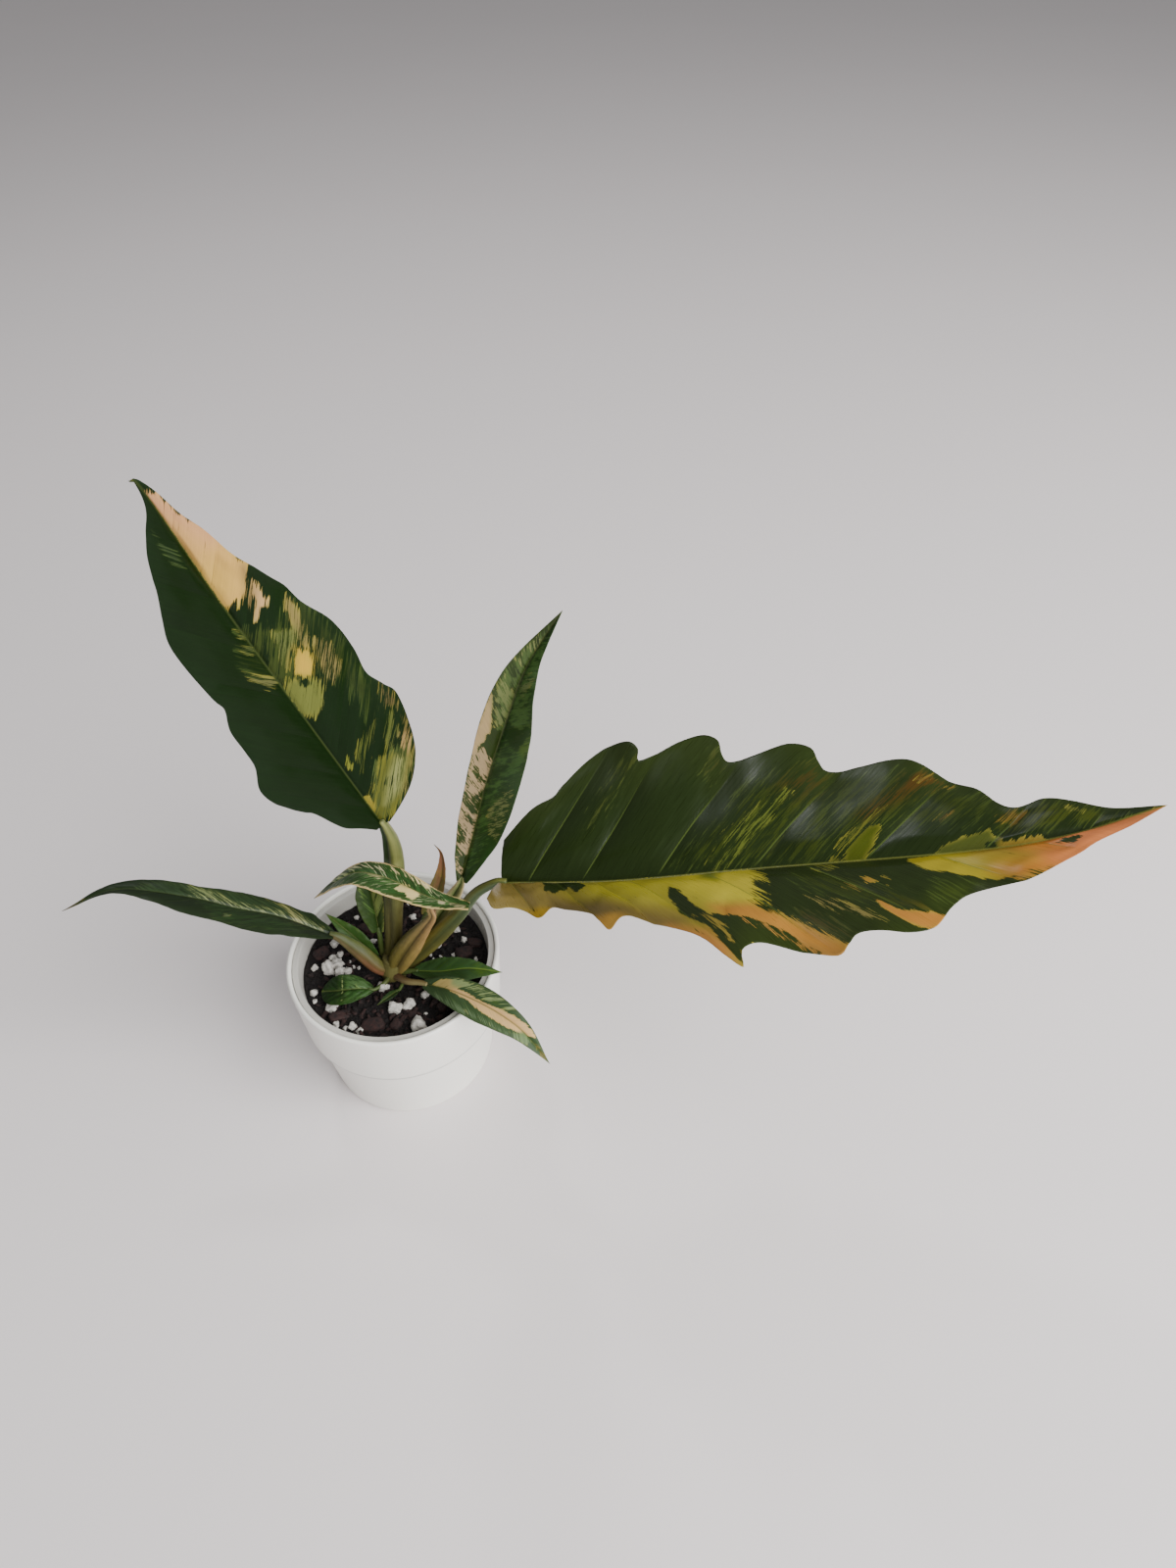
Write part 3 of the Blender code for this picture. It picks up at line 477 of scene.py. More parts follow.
@functools.cache
def ragged_mask() -> bpy.types.ShaderNodeTree:
    """Group that turns a soft field into a sharp mask with a streaky edge.

    A fine and a broad noise at the shifted place are added to the field where it is above
    nothing, and the sum is cut at a half.

    Returns:
        The group, made once.
    """
    group, sheet, given, out = new_group(
        "ragged_mask", {"Place": "Vector", "Field": "Float", "Grain": "Float", "Edge": "Float", "Shift": "Vector"},
        {"Mask": "Float"})
    moved = sheet.vector("ADD", {0: given["Place"], 1: given["Shift"]})
    coarse = sheet.noise(moved, 1.0, 6.0, 0.66)
    broad = sheet.noise(moved, 0.3, 2.0, 0.5)
    both = sheet.maths("ADD", coarse, sheet.maths("MULTIPLY", broad, 0.5))
    near = sheet.maths("MINIMUM", sheet.maths("MULTIPLY", given["Field"], 6.0), 1.0)
    grain = sheet.maths("MULTIPLY", given["Grain"], near)
    weighed = sheet.maths("MULTIPLY", sheet.maths("SUBTRACT", both, 0.75), grain)
    total = sheet.maths("ADD", given["Field"], weighed)
    span = (sheet.maths("SUBTRACT", 0.5, given["Edge"]), sheet.maths("ADD", 0.5, given["Edge"]))
    sheet.feed(out, {"Mask": sheet.ramp(total, span, kind="SMOOTHSTEP")})
    return group


@functools.cache
def fine_relief() -> bpy.types.ShaderNodeTree:
    """Group that gives the height of fine parallel veins and the skin's small bumps.

    The height is a noise stretched along the side veins plus a fine round noise.

    Returns:
        The group, made once.
    """
    group, sheet, given, out = new_group("fine_relief", {"Flat": "Vector"}, {"Height": "Float"})
    ribs = sheet.noise(sheet.vector("MULTIPLY", {0: given["Flat"], 1: (1.0, 0.07, 1.0)}), 0.9, 2.0, 0.5)
    skin = sheet.noise(given["Flat"], 1.6, 2.0, 0.5)
    sheet.feed(out, {"Height": sheet.maths("ADD", ribs, sheet.maths("MULTIPLY", skin, 0.35))})
    return group


@functools.cache
def mottle() -> bpy.types.ShaderNodeTree:
    """Group that lightens and darkens a colour by a noise of chosen size, and gives the noise.

    Returns:
        The group, made once.
    """
    group, sheet, given, out = new_group(
        "mottle", {"Place": "Vector", "Colour": "Color", "Size": "Float", "Amount": "Float"},
        {"Colour": "Color", "Value": "Float"})
    cloud = sheet.noise(given["Place"], given["Size"], 4.0, 0.6)
    swing = sheet.maths("MULTIPLY", sheet.maths("SUBTRACT", cloud, 0.5), given["Amount"])
    tinted = sheet.vector("SCALE", {0: given["Colour"], "Scale": sheet.maths("ADD", swing, 1.0)})
    sheet.feed(out, {"Colour": tinted, "Value": cloud})
    return group


@dataclass(frozen=True)
class LeafFinish:
    """Waxy marbled leaf skin. Its colours are painted on the blade's points as soft fields."""

    shift: float
    roughness: float = 0.40
    streak: tuple[float, float] = (1.4, 0.14)
    grain: float = 2.5
    vein_colour: str = "55652f"
    rib_colour: str = "4c562a"
    gloss: float = 0.16
    vein_gap: float = 34.0

    def make(self, name: str) -> bpy.types.Material:
        """The material: dark tissue, half-green tissue and pale tissue laid over each other by ragged masks.

        The midrib and the side veins are thin lines and grooves: their distance is the place
        across, and how far the vein count is from a whole number.

        Args:
            name: the material's name.

        Returns:
            The material.
        """
        made, sheet, shader = new_material(name)
        flat = sheet.node("Attribute", attribute_name="flat").outputs["Vector"]
        tones = {key: sheet.node("Attribute", attribute_name=key).outputs["Color"]
                 for key in ("fields", "base_tone", "mid_tone", "pale_tone")}
        parts = sheet.node("SeparateXYZ", {0: flat}).outputs
        fields = sheet.node("SeparateColor", {0: tones["fields"]}).outputs
        spot = sheet.vector("MULTIPLY", {0: flat, 1: (*self.streak, 1.0)})
        light, middle = (
            sheet.shared(ragged_mask(), {"Place": spot, "Field": field, "Grain": self.grain, "Edge": edge,
                                         "Shift": shift})["Mask"]
            for field, edge, shift in ((fields[0], 0.07, (self.shift, 0.0, 0.0)),
                                       (fields[1], 0.16, (self.shift + 7.3, 2.0, 0.0))))
        base, green, cream = (
            sheet.shared(mottle(), {"Place": spot, "Colour": tones[key], "Size": size, "Amount": amount})
            for key, size, amount in (("base_tone", 0.8, 0.7), ("mid_tone", 1.2, 0.9), ("pale_tone", 0.9, 0.35)))
        tone = sheet.mix(light, sheet.mix(middle, base["Colour"], green["Colour"]), cream["Colour"])
        near = sheet.maths("MULTIPLY", sheet.maths("PINGPONG", parts["Z"], 0.5), self.vein_gap)
        shown = sheet.maths("MULTIPLY", sheet.ramp(near, (0.12, 0.55), (1.0, 0.0)), fields[2])
        rib = sheet.ramp(sheet.maths("ABSOLUTE", parts["Y"]), (0.15, 0.6), (0.65, 0.0))
        veined = sheet.mix(shown, tone, paint(self.vein_colour))
        groove = sheet.ramp(near, (0.0, 1.3), (0.0, 1.6), "SMOOTHSTEP")
        height = sheet.maths("ADD", sheet.maths("MULTIPLY", groove, fields[2]),
                             sheet.shared(fine_relief(), {"Flat": flat})[0])
        sheet.feed(shader, {
            "Base Color": sheet.mix(rib, veined, paint(self.rib_colour)),
            "Roughness": sheet.ramp(base["Value"], (0.3, 0.7), (self.roughness - 0.05, self.roughness + 0.07)),
            "Normal": sheet.bump(height, 0.5, 0.0001), "Specular IOR Level": self.gloss})
        return made


@dataclass(frozen=True)
class Half:
    """One half of a blade, from its midrib to its margin.

    A lobed half has margin knots as pairs. A plain half has a width in metres and the
    numbers that shape it. Its side veins start at given places and lean towards the tip,
    the more the nearer the tip. Its colour goes from an inner to an outer one.
    """

    width: float = 0.0
    widest: float = 0.45
    base: float = 0.30
    taper: tuple[float, float] = (1.6, 1.2)
    fold: tuple = (12, 12)
    droop: float = 2.0
    margin: tuple = ()
    veins: tuple = ()
    lean: tuple[float, float] = (1.4, 0.0)
    inner: str = "2f3f20"
    outer: str = "2f3f20"
    edge: float = 0.0
    edge_colour: str = "bfa56e"

    def width_at(self, along: np.ndarray) -> np.ndarray:
        """Width of a plain half: up to its widest a quarter sine to a power, past it (1 - x^a)^b.

        Args:
            along: places along the midrib, 0 to 1.

        Returns:
            Widths in metres.
        """
        rise = np.clip(along / self.widest, 0.0, 1.0)
        grown = self.base + (1.0 - self.base) * np.sin(rise * math.pi / 2) ** 0.9
        fall = np.clip((along - self.widest) / (1.0 - self.widest), 0.0, 1.0)
        inward, outward = self.taper
        return self.width * np.where(along < self.widest, grown, (1.0 - fall ** inward) ** outward)


@dataclass(frozen=True)
class Leaf:
    """A leaf blade: its midrib in space, the way its face points, its halves and its markings."""

    name: str
    midrib: tuple
    face: tuple
    right: Half
    left: Half
    finish: LeafFinish
    patches: tuple = ()
    sweep: float = 0.04
    waves: float = 3.0
    wave_height: float = 0.0
    ripple: float = 0.0004
    quilt: float = 0.0002
    rib: float = 0.0006
    rib_width: float = 0.0006
    vein_show: float = 0.2
    under_colour: str = "4c5c30"
    thickness: float = 0.00045
    rows: int = 90
    columns: int = 16
    seed: int = 1

    def knots(self) -> np.ndarray:
        """The midrib's knots in metres."""
        return in_rows(self.midrib, MM, MM, MM)

    def line(self) -> tuple[np.ndarray, float]:
        """Points along the midrib, and its length in metres."""
        points = smooth_curve(self.knots(), 401)
        return points, line_length(points)

    def lead(self, start: np.ndarray) -> np.ndarray:
        """How far ahead of its start on the midrib a row of the surface meets the margin."""
        return self.sweep * (1.0 - start) * (1.0 - np.exp(-start / 0.07))

    def margin_reach(self, half: Half, start: np.ndarray) -> tuple[np.ndarray, np.ndarray]:
        """Where the rows that start at places on the midrib meet a half's margin.

        A lobed half's margin is a smooth curve through its knots, which may overhang. A
        knot's row starts a lead behind it, and always a step past the row of the knot before.

        Args:
            half: the half.
            start: places along the midrib.

        Returns:
            Shares of the midrib's length, and distances from it in metres.
        """
        if not half.margin:
            along = start + self.lead(start)
            return along, half.width_at(along)
        knots = in_rows(half.margin, *BLADE_PAIR)
        fine = np.linspace(0.0, 1.0, 2001)
        step = 0.005 * np.arange(len(knots))
        marks = np.interp(knots[:, 0], fine + self.lead(fine), fine) - step
        marks = np.concatenate([[0.0], np.maximum.accumulate(np.maximum(marks[1:], 0.0))]) + step
        point = catmull_rom(knots, np.interp(start, marks, np.arange(len(knots))))
        return point[..., 0], np.maximum(point[..., 1], 0.0) * MM

    def surface(self, start: np.ndarray, across: np.ndarray) -> tuple[np.ndarray, np.ndarray, np.ndarray]:
        """The bent surface at row starts and signed shares across.

        A place is the midrib's point there, plus the half's width times the share turned up by
        the fold, less a droop that grows with its square, plus a wave and a ripple at the margin.

        Args:
            start: places along the midrib, 0 to 1.
            across: signed shares across, the right half positive.

        Returns:
            The points, the place of each along the midrib, and its signed distance in metres.
        """
        line, length = self.line()
        share = np.abs(across)
        is_right = across >= 0.0
        right_end, right_width = self.margin_reach(self.right, start)
        left_end, left_width = self.margin_reach(self.left, start)
        along = start + (np.where(is_right, right_end, left_end) - start) * share ** 1.4
        offset = np.where(is_right, right_width, left_width) * share
        inside = np.clip(along, 0.0, 1.0)
        centre, forward, up, side = carry(line, inside, spread(self.face, inside))
        centre = centre + forward * ((along - inside) * length)[..., None]
        angle = np.radians(np.where(is_right, spread(self.right.fold, inside), spread(self.left.fold, inside)))
        droop = np.where(is_right, self.right.droop, self.left.droop)
        wave = self.wave_height * np.sin(TURN * self.waves * along + is_right * 1.3) * share ** 2
        fade = np.clip(4.0 * (1.0 - inside), 0.0, 1.0)
        ruffle = self.ripple * wobble(along * 6.0, across, self.seed, 1.0, 3) * share ** 3
        rise = offset * np.sin(angle) - droop * offset ** 2 + (wave + ruffle) * fade
        signed = np.where(is_right, offset, -offset)
        points = centre + side * (signed * np.cos(angle))[..., None] + up * rise[..., None]
        return points, along, signed

    def vein_step(self, along: np.ndarray, signed: np.ndarray) -> tuple[np.ndarray, np.ndarray]:
        """The place where the side vein through a point starts, and the count of veins up to there.

        A vein runs straight at its lean; the count is whole on a vein and a half far from any.

        Args:
            along: places along the midrib.
            signed: signed distances from it in metres.

        Returns:
            The places and the counts.
        """
        gap = np.abs(signed) / self.line()[1]
        place = np.zeros_like(along)
        count = np.full_like(along, 0.5)
        for half, on in ((self.right, signed >= 0.0), (self.left, signed < 0.0)):
            first, growth = half.lean
            own = (along - first * gap) / (1.0 + growth * gap)
            place = np.where(on, own, place)
            if half.veins:
                spare = 0.14 * np.arange(1, 4)
                marks = np.concatenate([half.veins[0] - spare[::-1], half.veins, half.veins[-1] + spare])
                count = np.where(on, np.interp(own, marks, np.arange(len(marks), dtype=float)), count)
        return place, count

    def relief(self, along: np.ndarray, across: np.ndarray, signed: np.ndarray) -> np.ndarray:
        """Height of the blade's own relief above its bent surface, in metres.

        Between two side veins it swells as a half sine to a power, so that each vein lies in a
        sharp valley; the swelling fades at the midrib and at the margin. The midrib is a groove.

        Args:
            along: places along the midrib.
            across: signed shares across.
            signed: distance from the midrib in metres.

        Returns:
            Heights in metres.
        """
        _, count = self.vein_step(along, signed)
        swell = np.abs(np.sin(math.pi * count)) ** 0.7
        share = np.abs(across)
        fade = smooth_step(share, 0.0, 0.22) * (1.0 - 0.55 * smooth_step(share, 0.6, 1.0))
        tip = 1.0 - smooth_step(along, 0.8, 1.0)
        depth = 0.0004 * float(np.clip(self.rib / MM, 0.3, 1.3))
        lumps = wobble(along * 9.0, across * 1.5, self.seed + 5, 1.0, 2) * 0.15
        return (self.quilt * (swell + lumps) * fade - depth * bell(signed, self.rib_width)) * tip

    def paint_fields(self, along: np.ndarray, across: np.ndarray,
                     signed: np.ndarray) -> tuple[np.ndarray, dict[str, np.ndarray]]:
        """Soft fields of the blade's markings at its points.

        Each patch adds its signed distance as a soft step; a dark one takes away from the
        others. A patch that lies on one half stops at the midrib. The colour of the last patch
        near a point shows there. A half may have a pale edge, some millimetres wide.

        Args:
            along: places along the midrib.
            across: signed shares across.
            signed: distance from the midrib in metres.

        Returns:
            The fields as an n by 4 array, and the tones by name.
        """
        overlap, near_midrib, far_side = 2.5, 1.6, 4.0
        scale = (self.line()[1] / MM, 1.0)
        points = np.stack([along.ravel(), signed.ravel() / MM], axis=-1)
        share = np.abs(across.ravel())[:, None]
        is_right = (across.ravel() >= 0.0)[:, None]
        inner, outer, edge_tone = (np.where(is_right, paint(getattr(self.right, key)), paint(getattr(self.left, key)))
                                   for key in ("inner", "outer", "edge_colour"))
        light, middle = np.zeros(len(points)), np.zeros(len(points))
        light_tone, mid_tone = (np.tile(paint(code), (len(points), 1)) for code in ("8c8430", "4a5a2a"))
        for patch in self.patches:
            outline = in_rows(patch.outline, *BLADE_PAIR)
            own = float(outline[:, 1].min() > -overlap) - float(outline[:, 1].max() < overlap)
            if own:
                outline[:, 1] = np.where(outline[:, 1] * own < near_midrib, -far_side * own, outline[:, 1])
            gap = inside_distance(points, outline, scale)
            kept = smooth_step(points[:, 1] * own, -0.15, 0.15) if own else np.ones(len(points))
            field = np.clip(0.5 + gap / (2 * patch.soft), 0.0, 1.0) * patch.strength * kept
            cover = (smooth_step(gap, -2.0 * patch.soft, 1.5 * patch.soft) * kept)[:, None]
            if patch.tone is Tone.PALE:
                light = np.maximum(light, field)
                light_tone = light_tone + (np.array(paint(patch.colour)) - light_tone) * cover
            elif patch.tone is Tone.MID:
                middle = np.maximum(middle, field)
                mid_tone = mid_tone + (np.array(paint(patch.colour)) - mid_tone) * cover
            else:
                light = np.minimum(light, 1.0 - field)
                middle = np.minimum(middle, 1.0 - field)
        edge = np.where(is_right[:, 0], self.right.edge, self.left.edge)
        inset = np.abs(points[:, 1]) * (1.0 / np.maximum(share[:, 0], 0.02) - 1.0)
        rimmed = np.where(edge > 0.0, np.clip(0.5 + (edge - inset) / 1.2, 0.0, 1.0), 0.0)
        light_tone = light_tone + (edge_tone - light_tone) * rimmed[:, None]
        vein = self.vein_show * (1.0 - smooth_step(share[:, 0], 0.35, 0.95)) * smooth_step(share[:, 0], 0.0, 0.08)
        fields = np.stack([np.maximum(light, 0.9 * rimmed), middle, vein, np.ones(len(points))], axis=-1)
        base_tone = inner + (outer - inner) * smooth_step(share, 0.5, 1.0)
        return fields, {"base_tone": base_tone, "mid_tone": mid_tone, "pale_tone": light_tone}

    def row_starts(self) -> np.ndarray:
        """Starts of the rows: even steps of how far along the midrib and both margins they walk.

        Returns:
            One place on the midrib for each row.
        """
        fine = np.linspace(0.0, 1.0, 2001)
        _, length = self.line()
        walked = fine.copy()
        for half in (self.right, self.left):
            along, width = self.margin_reach(half, fine)
            stride = np.hypot(np.diff(along) * length, np.diff(width))
            walked[1:] += 0.5 * np.cumsum(stride) / stride.sum()
        return np.interp(np.linspace(0.0, walked[-1] * 0.9965, self.rows), walked, fine)

    @staticmethod
    def closed_faces(rows: int, wide: int) -> tuple[np.ndarray, np.ndarray]:
        """Faces of two equal grids, one over the other, joined round their rim and closed onto one tip vertex.

        Args:
            rows: rows of each grid.
            wide: vertices in a row.

        Returns:
            The four-sided faces, and the triangles at the tip.
        """
        lower = rows * wide
        faces = [grid_faces(rows, wide), grid_faces(rows, wide, first=lower, flip=True)]
        left = np.arange(rows - 1) * wide
        for first, step, turned in ((left, wide, True), (left + wide - 1, wide, False),
                                    (np.arange(wide - 1), 1, False)):
            wall = np.stack([first, first + lower, first + step + lower, first + step], axis=-1)
            faces.append(wall[:, ::-1] if turned else wall)
        last = (rows - 1) * wide + np.arange(wide - 1)
        end = np.full(wide - 1, 2 * lower)
        caps = np.concatenate([
            np.stack([last, last + 1, end], axis=-1), np.stack([last + lower, end, last + 1 + lower], axis=-1),
            np.array([[last[0], 2 * lower, last[0] + lower], [last[-1] + 1, last[-1] + 1 + lower, 2 * lower]])])
        return np.concatenate(faces), caps

    def build(self) -> None:
        """Makes the blade as a thin closed solid: a face, an underside, and a rim that joins them."""
        bend = np.linspace(0.0, 1.0, self.columns + 1)
        shares = 0.55 * bend + 0.45 * bend ** 2
        shares[-2] = 0.5 * (shares[-2] + 1.0)
        start, across = np.meshgrid(self.row_starts(), np.concatenate([-shares[::-1], shares[1:]]), indexing="ij")
        grid, along, signed = self.surface(start, across)
        normal = unit(np.cross(np.gradient(grid, axis=1), np.gradient(grid, axis=0)))
        grid = grid + normal * self.relief(along, across, signed)[..., None]
        normal = unit(np.cross(np.gradient(grid, axis=1), np.gradient(grid, axis=0)))
        thick = self.thickness * (1.0 - 0.75 * np.abs(across) ** 10) * (1.0 - 0.4 * start)
        ridge = self.rib * (1.0 - start) * bell(signed, self.rib_width)
        top = grid + normal * (thick / 2)[..., None]
        under = grid - normal * (thick / 2 + ridge)[..., None]
        tip, _, _ = self.surface(np.array([1.0]), np.array([0.0]))
        faces, caps = self.closed_faces(*start.shape)
        fields, tones = self.paint_fields(along, across, signed)
        place, count = self.vein_step(along, signed)
        flat = np.stack([place.ravel() * self.line()[1] / MM, signed.ravel() / MM, count.ravel() + 3.0 * self.seed],
                        axis=-1)
        both = {"fields": np.vstack([fields, fields, fields[-1:]])}
        for key, tone in tones.items():
            beneath = tone + (np.array(paint(self.under_colour)) - tone) * (0.42 if key == "pale_tone" else 0.55)
            both[key] = with_alpha(np.vstack([tone, beneath, tone[-1:]]))
        made = put_mesh(self.name + "_blade", np.vstack([top.reshape(-1, 3), under.reshape(-1, 3), tip]), faces,
                        self.finish.make(self.name + "_skin"), caps, both,
                        {"flat": np.vstack([flat, flat + (0.0, 0.0, 9.0), flat[-1:]])})
        settle(made, self.name, self.name)


@dataclass(frozen=True)
class StemFinish:
    """Striped petiole skin, its colours painted on the stalk's points; they hold painted light and shade as well as
    the stalk's own colours.
    """

    roughness: float = 0.5
    stripes: float = 0.5
    gloss: float = 0.3

    def make(self, name: str) -> bpy.types.Material:
        """The material: the painted tone, streaked along the stalk.

        Args:
            name: the material's name.

        Returns:
            The material.
        """
        made, sheet, shader = new_material(name)
        tone = sheet.node("Attribute", attribute_name="stem_tone").outputs["Color"]
        flat = sheet.node("Attribute", attribute_name="flat").outputs["Vector"]
        place = sheet.vector("MULTIPLY", {0: flat, 1: (0.06, 1.5, 1.0)})
        streaked = sheet.shared(mottle(), {"Place": place, "Colour": tone, "Size": 1.0, "Amount": self.stripes * 1.6})
        cloudy = sheet.shared(mottle(), {"Place": flat, "Colour": streaked["Colour"], "Size": 0.25,
                                         "Amount": self.stripes})
        sheet.feed(shader, {"Base Color": cloudy["Colour"], "Roughness": self.roughness,
                            "Normal": sheet.bump(streaked["Value"], 0.4, 0.0002), "Specular IOR Level": self.gloss})
        return made


@dataclass(frozen=True)
class Wing:
    """A sheath wing along a petiole: its side and width in degrees, its height in metres and its span."""

    side: float
    width: float
    height: float
    span: tuple[float, float]


@dataclass(frozen=True)
class Petiole:
    """A petiole: points from the crown up, and its radius in millimetres at even steps to its seat.

    It meets its blade in line with the midrib, or square to the underside at a place.
    Each stripe of its skin is an angle in degrees from its front and the colours there at
    its foot and its head; the colours blend from one stripe to the next. Besides the stalk's
    own colours, the stripes hold painted shade and light: darker on its shaded side and in its
    groove, lighter on its lit side.
    """

    name: str
    points: tuple
    radii: tuple
    stripes: tuple = ((-180, "352e18", "34401f"), (-90, "3c4620", "3c4c22"), (0, "46461f", "465628"),
                      (90, "3c4620", "3c4c22"), (180, "352e18", "34401f"))
    groove: float = 0.0
    groove_side: float = 0.0
    wings: tuple = ()
    reach: float = 0.005
    under: float = 0.0
    rings: int = 40
    sides: int = 28

    def seat(self, leaf: Leaf | None) -> np.ndarray:
        """The last two points of the petiole, so that its flat end faces the blade it carries.

        Args:
            leaf: the blade, or none for the crown.

        Returns:
            Two points, or none, n by 3.
        """
        if leaf is None:
            return np.zeros((0, 3))
        line = smooth_curve(leaf.knots(), 201)
        spot = max(1, int(round(self.under * 200)))
        heading = unit(line[spot + 1] - line[spot - 1])
        end = line[0] + heading * 0.0022
        if self.under > 0.0:
            heading = square_to(spread(leaf.face, np.array([self.under]))[0], heading)
            end = line[spot] - heading * (leaf.thickness / 2 + leaf.rib * 0.5)
        return np.array([end - heading * self.reach, end])

    def radius_round(self, places: np.ndarray, side: np.ndarray) -> tuple[np.ndarray, np.ndarray]:
        """Radius of the stalk at places along it and at angles round it.

        It is the local radius, softened from ring to ring, less a groove and plus each wing, both
        bell curves of the angle; a wing also comes and goes along the line as a half sine.

        Args:
            places: places along the line, 0 to 1.
            side: angles round it in degrees.

        Returns:
            The local radius at each place, and the radius at each place and angle.
        """
        blur = np.hanning(11) / np.hanning(11).sum()
        local = np.convolve(np.pad(spread(self.radii, places) * MM, 5, mode="edge"), blur, mode="valid")
        ring = local[:, None] * (1.0 - self.groove * bell(side - self.groove_side, 26.0))[None, :]
        for wing in self.wings:
            first, last = wing.span
            along = np.sin(math.pi * np.clip((places - first) / (last - first), 0.0, 1.0)) ** 0.6
            gap = (side - wing.side + 180.0) % 360.0 - 180.0
            ring = ring + wing.height * along[:, None] * bell(gap, wing.width)[None, :]
        uneven = wobble(places[:, None] * 5.0, side[None, :] / 60.0, len(self.name), 1.0, 2)
        return local, ring * (1.0 + 0.025 * uneven)

    def build(self, leaf: Leaf | None, material: bpy.types.Material) -> bpy.types.Object:
        """A tube carried along the petiole's line, closed at both ends.

        A point is the line's, plus the radius there times the cosine of its angle upward and
        the sine of it sideways.

        Args:
            leaf: the blade it carries, or none.
            material: its finish.

        Returns:
            The petiole's object.
        """
        line = smooth_curve(np.vstack([in_rows(self.points, MM, MM, MM), self.seat(leaf)]), 400)
        places = np.linspace(0.0, 1.0, self.rings)
        turn = np.linspace(-math.pi, math.pi, self.sides, endpoint=False)
        side = np.degrees(turn)
        centre, _, up, beside = carry(line, places, np.array([0.0, -1.0, 0.35]))
        radius, ring = self.radius_round(places, side)
        points = (centre[:, None] + up[:, None] * (ring * np.cos(turn))[..., None]
                  + beside[:, None] * (ring * np.sin(turn))[..., None])
        # The stripes' colours are partly painted shade and light from the stalk's shaded and lit sides.
        angles, foot, head = zip(*self.stripes)
        low, high = (spread([paint(code) for code in codes], side, angles) for codes in (foot, head))
        rise = smooth_step(places, 0.15, 0.75)[:, None, None]
        tone = (low[None] + (high - low)[None] * rise).reshape(-1, 3)
        flat = np.stack(np.broadcast_arrays(places[:, None] * line_length(line) / MM, radius[:, None] * turn / MM,
                                            float(len(self.name))), axis=-1).reshape(-1, 3)
        return put_mesh("petiole_" + self.name, np.vstack([points.reshape(-1, 3), centre[:1], centre[-1:]]),
                        grid_faces(self.rings, self.sides, wrap=True), material, end_fans(self.rings, self.sides),
                        {"stem_tone": with_alpha(np.vstack([tone, tone[:1], tone[-1:]]))},
                        {"flat": np.vstack([flat, flat[:1], flat[-1:]])})


@dataclass(frozen=True)
class Glaze:
    """Satin plastic skin with a faint clouding and a fine surface."""

    name: str
    colour: str
    roughness: float
    cloud: float
    rings: float = 0.0
    shade_line_height: float = 0.0

    def make(self) -> bpy.types.Material:
        """The material: a near-even colour, faint moulded rings, and a painted shade line at the given height if it
        has one.

        Returns:
            The material.
        """
        made, sheet, shader = new_material(self.name)
        place = sheet.node("TexCoord").outputs["Object"]
        cloudy = sheet.shared(mottle(), {"Place": place, "Colour": paint(self.colour), "Size": 26.0,
                                         "Amount": self.cloud})
        shown, level = cloudy["Colour"], sheet.node("SeparateXYZ", {0: place}).outputs["Z"]
        # Painted shade: a grey line darkens the wall round the given height, at the step under the band, where the
        # band's overhang would cast shade.
        if self.shade_line_height > 0.0:
            gap = sheet.maths("ABSOLUTE", sheet.maths("SUBTRACT", level, self.shade_line_height))
            shown = sheet.mix(sheet.ramp(gap, (0.0, 0.0020), (0.62, 0.0), "SMOOTHSTEP"), shown, paint("8a8983"))
        height = sheet.noise(place, 900.0, 2.0, 0.5)
        if self.rings > 0.0:
            wave = sheet.maths("SINE", sheet.maths("MULTIPLY", level, 2600.0))
            height = sheet.maths("ADD", sheet.maths("MULTIPLY", wave, self.rings), height)
        rough = sheet.ramp(cloudy["Value"], (0.3, 0.7), (self.roughness - 0.04, self.roughness + 0.04))
        sheet.feed(shader, {"Base Color": shown, "Roughness": rough, "Normal": sheet.bump(height, 0.12, 0.0002)})
        return made


@dataclass(frozen=True)
class Crumble:
    """Dry crumbly stuff: bark, peat or perlite, mottled at two sizes and rough all over."""

    name: str
    dark: str
    light: str
    size: float
    roughness: float = 0.95
    bump: float = 0.0006

    def make(self) -> bpy.types.Material:
        """The material: a dark and a light tone mixed by noise, with the same noise as relief.

        Returns:
            The material.
        """
        made, sheet, shader = new_material(self.name)
        place = sheet.node("TexCoord").outputs["Object"]
        coarse = sheet.noise(place, self.size, 5.0, 0.65)
        tone = sheet.mix(sheet.ramp(coarse, (0.35, 0.68)), paint(self.dark), paint(self.light))
        fine = sheet.shared(mottle(), {"Place": place, "Colour": tone, "Size": self.size * 4.0, "Amount": 0.5})
        height = sheet.maths("ADD", coarse, sheet.maths("MULTIPLY", fine["Value"], 0.4))
        sheet.feed(shader, {"Base Color": fine["Colour"], "Roughness": self.roughness,
                            "Normal": sheet.bump(height, 0.7, self.bump)})
        return made


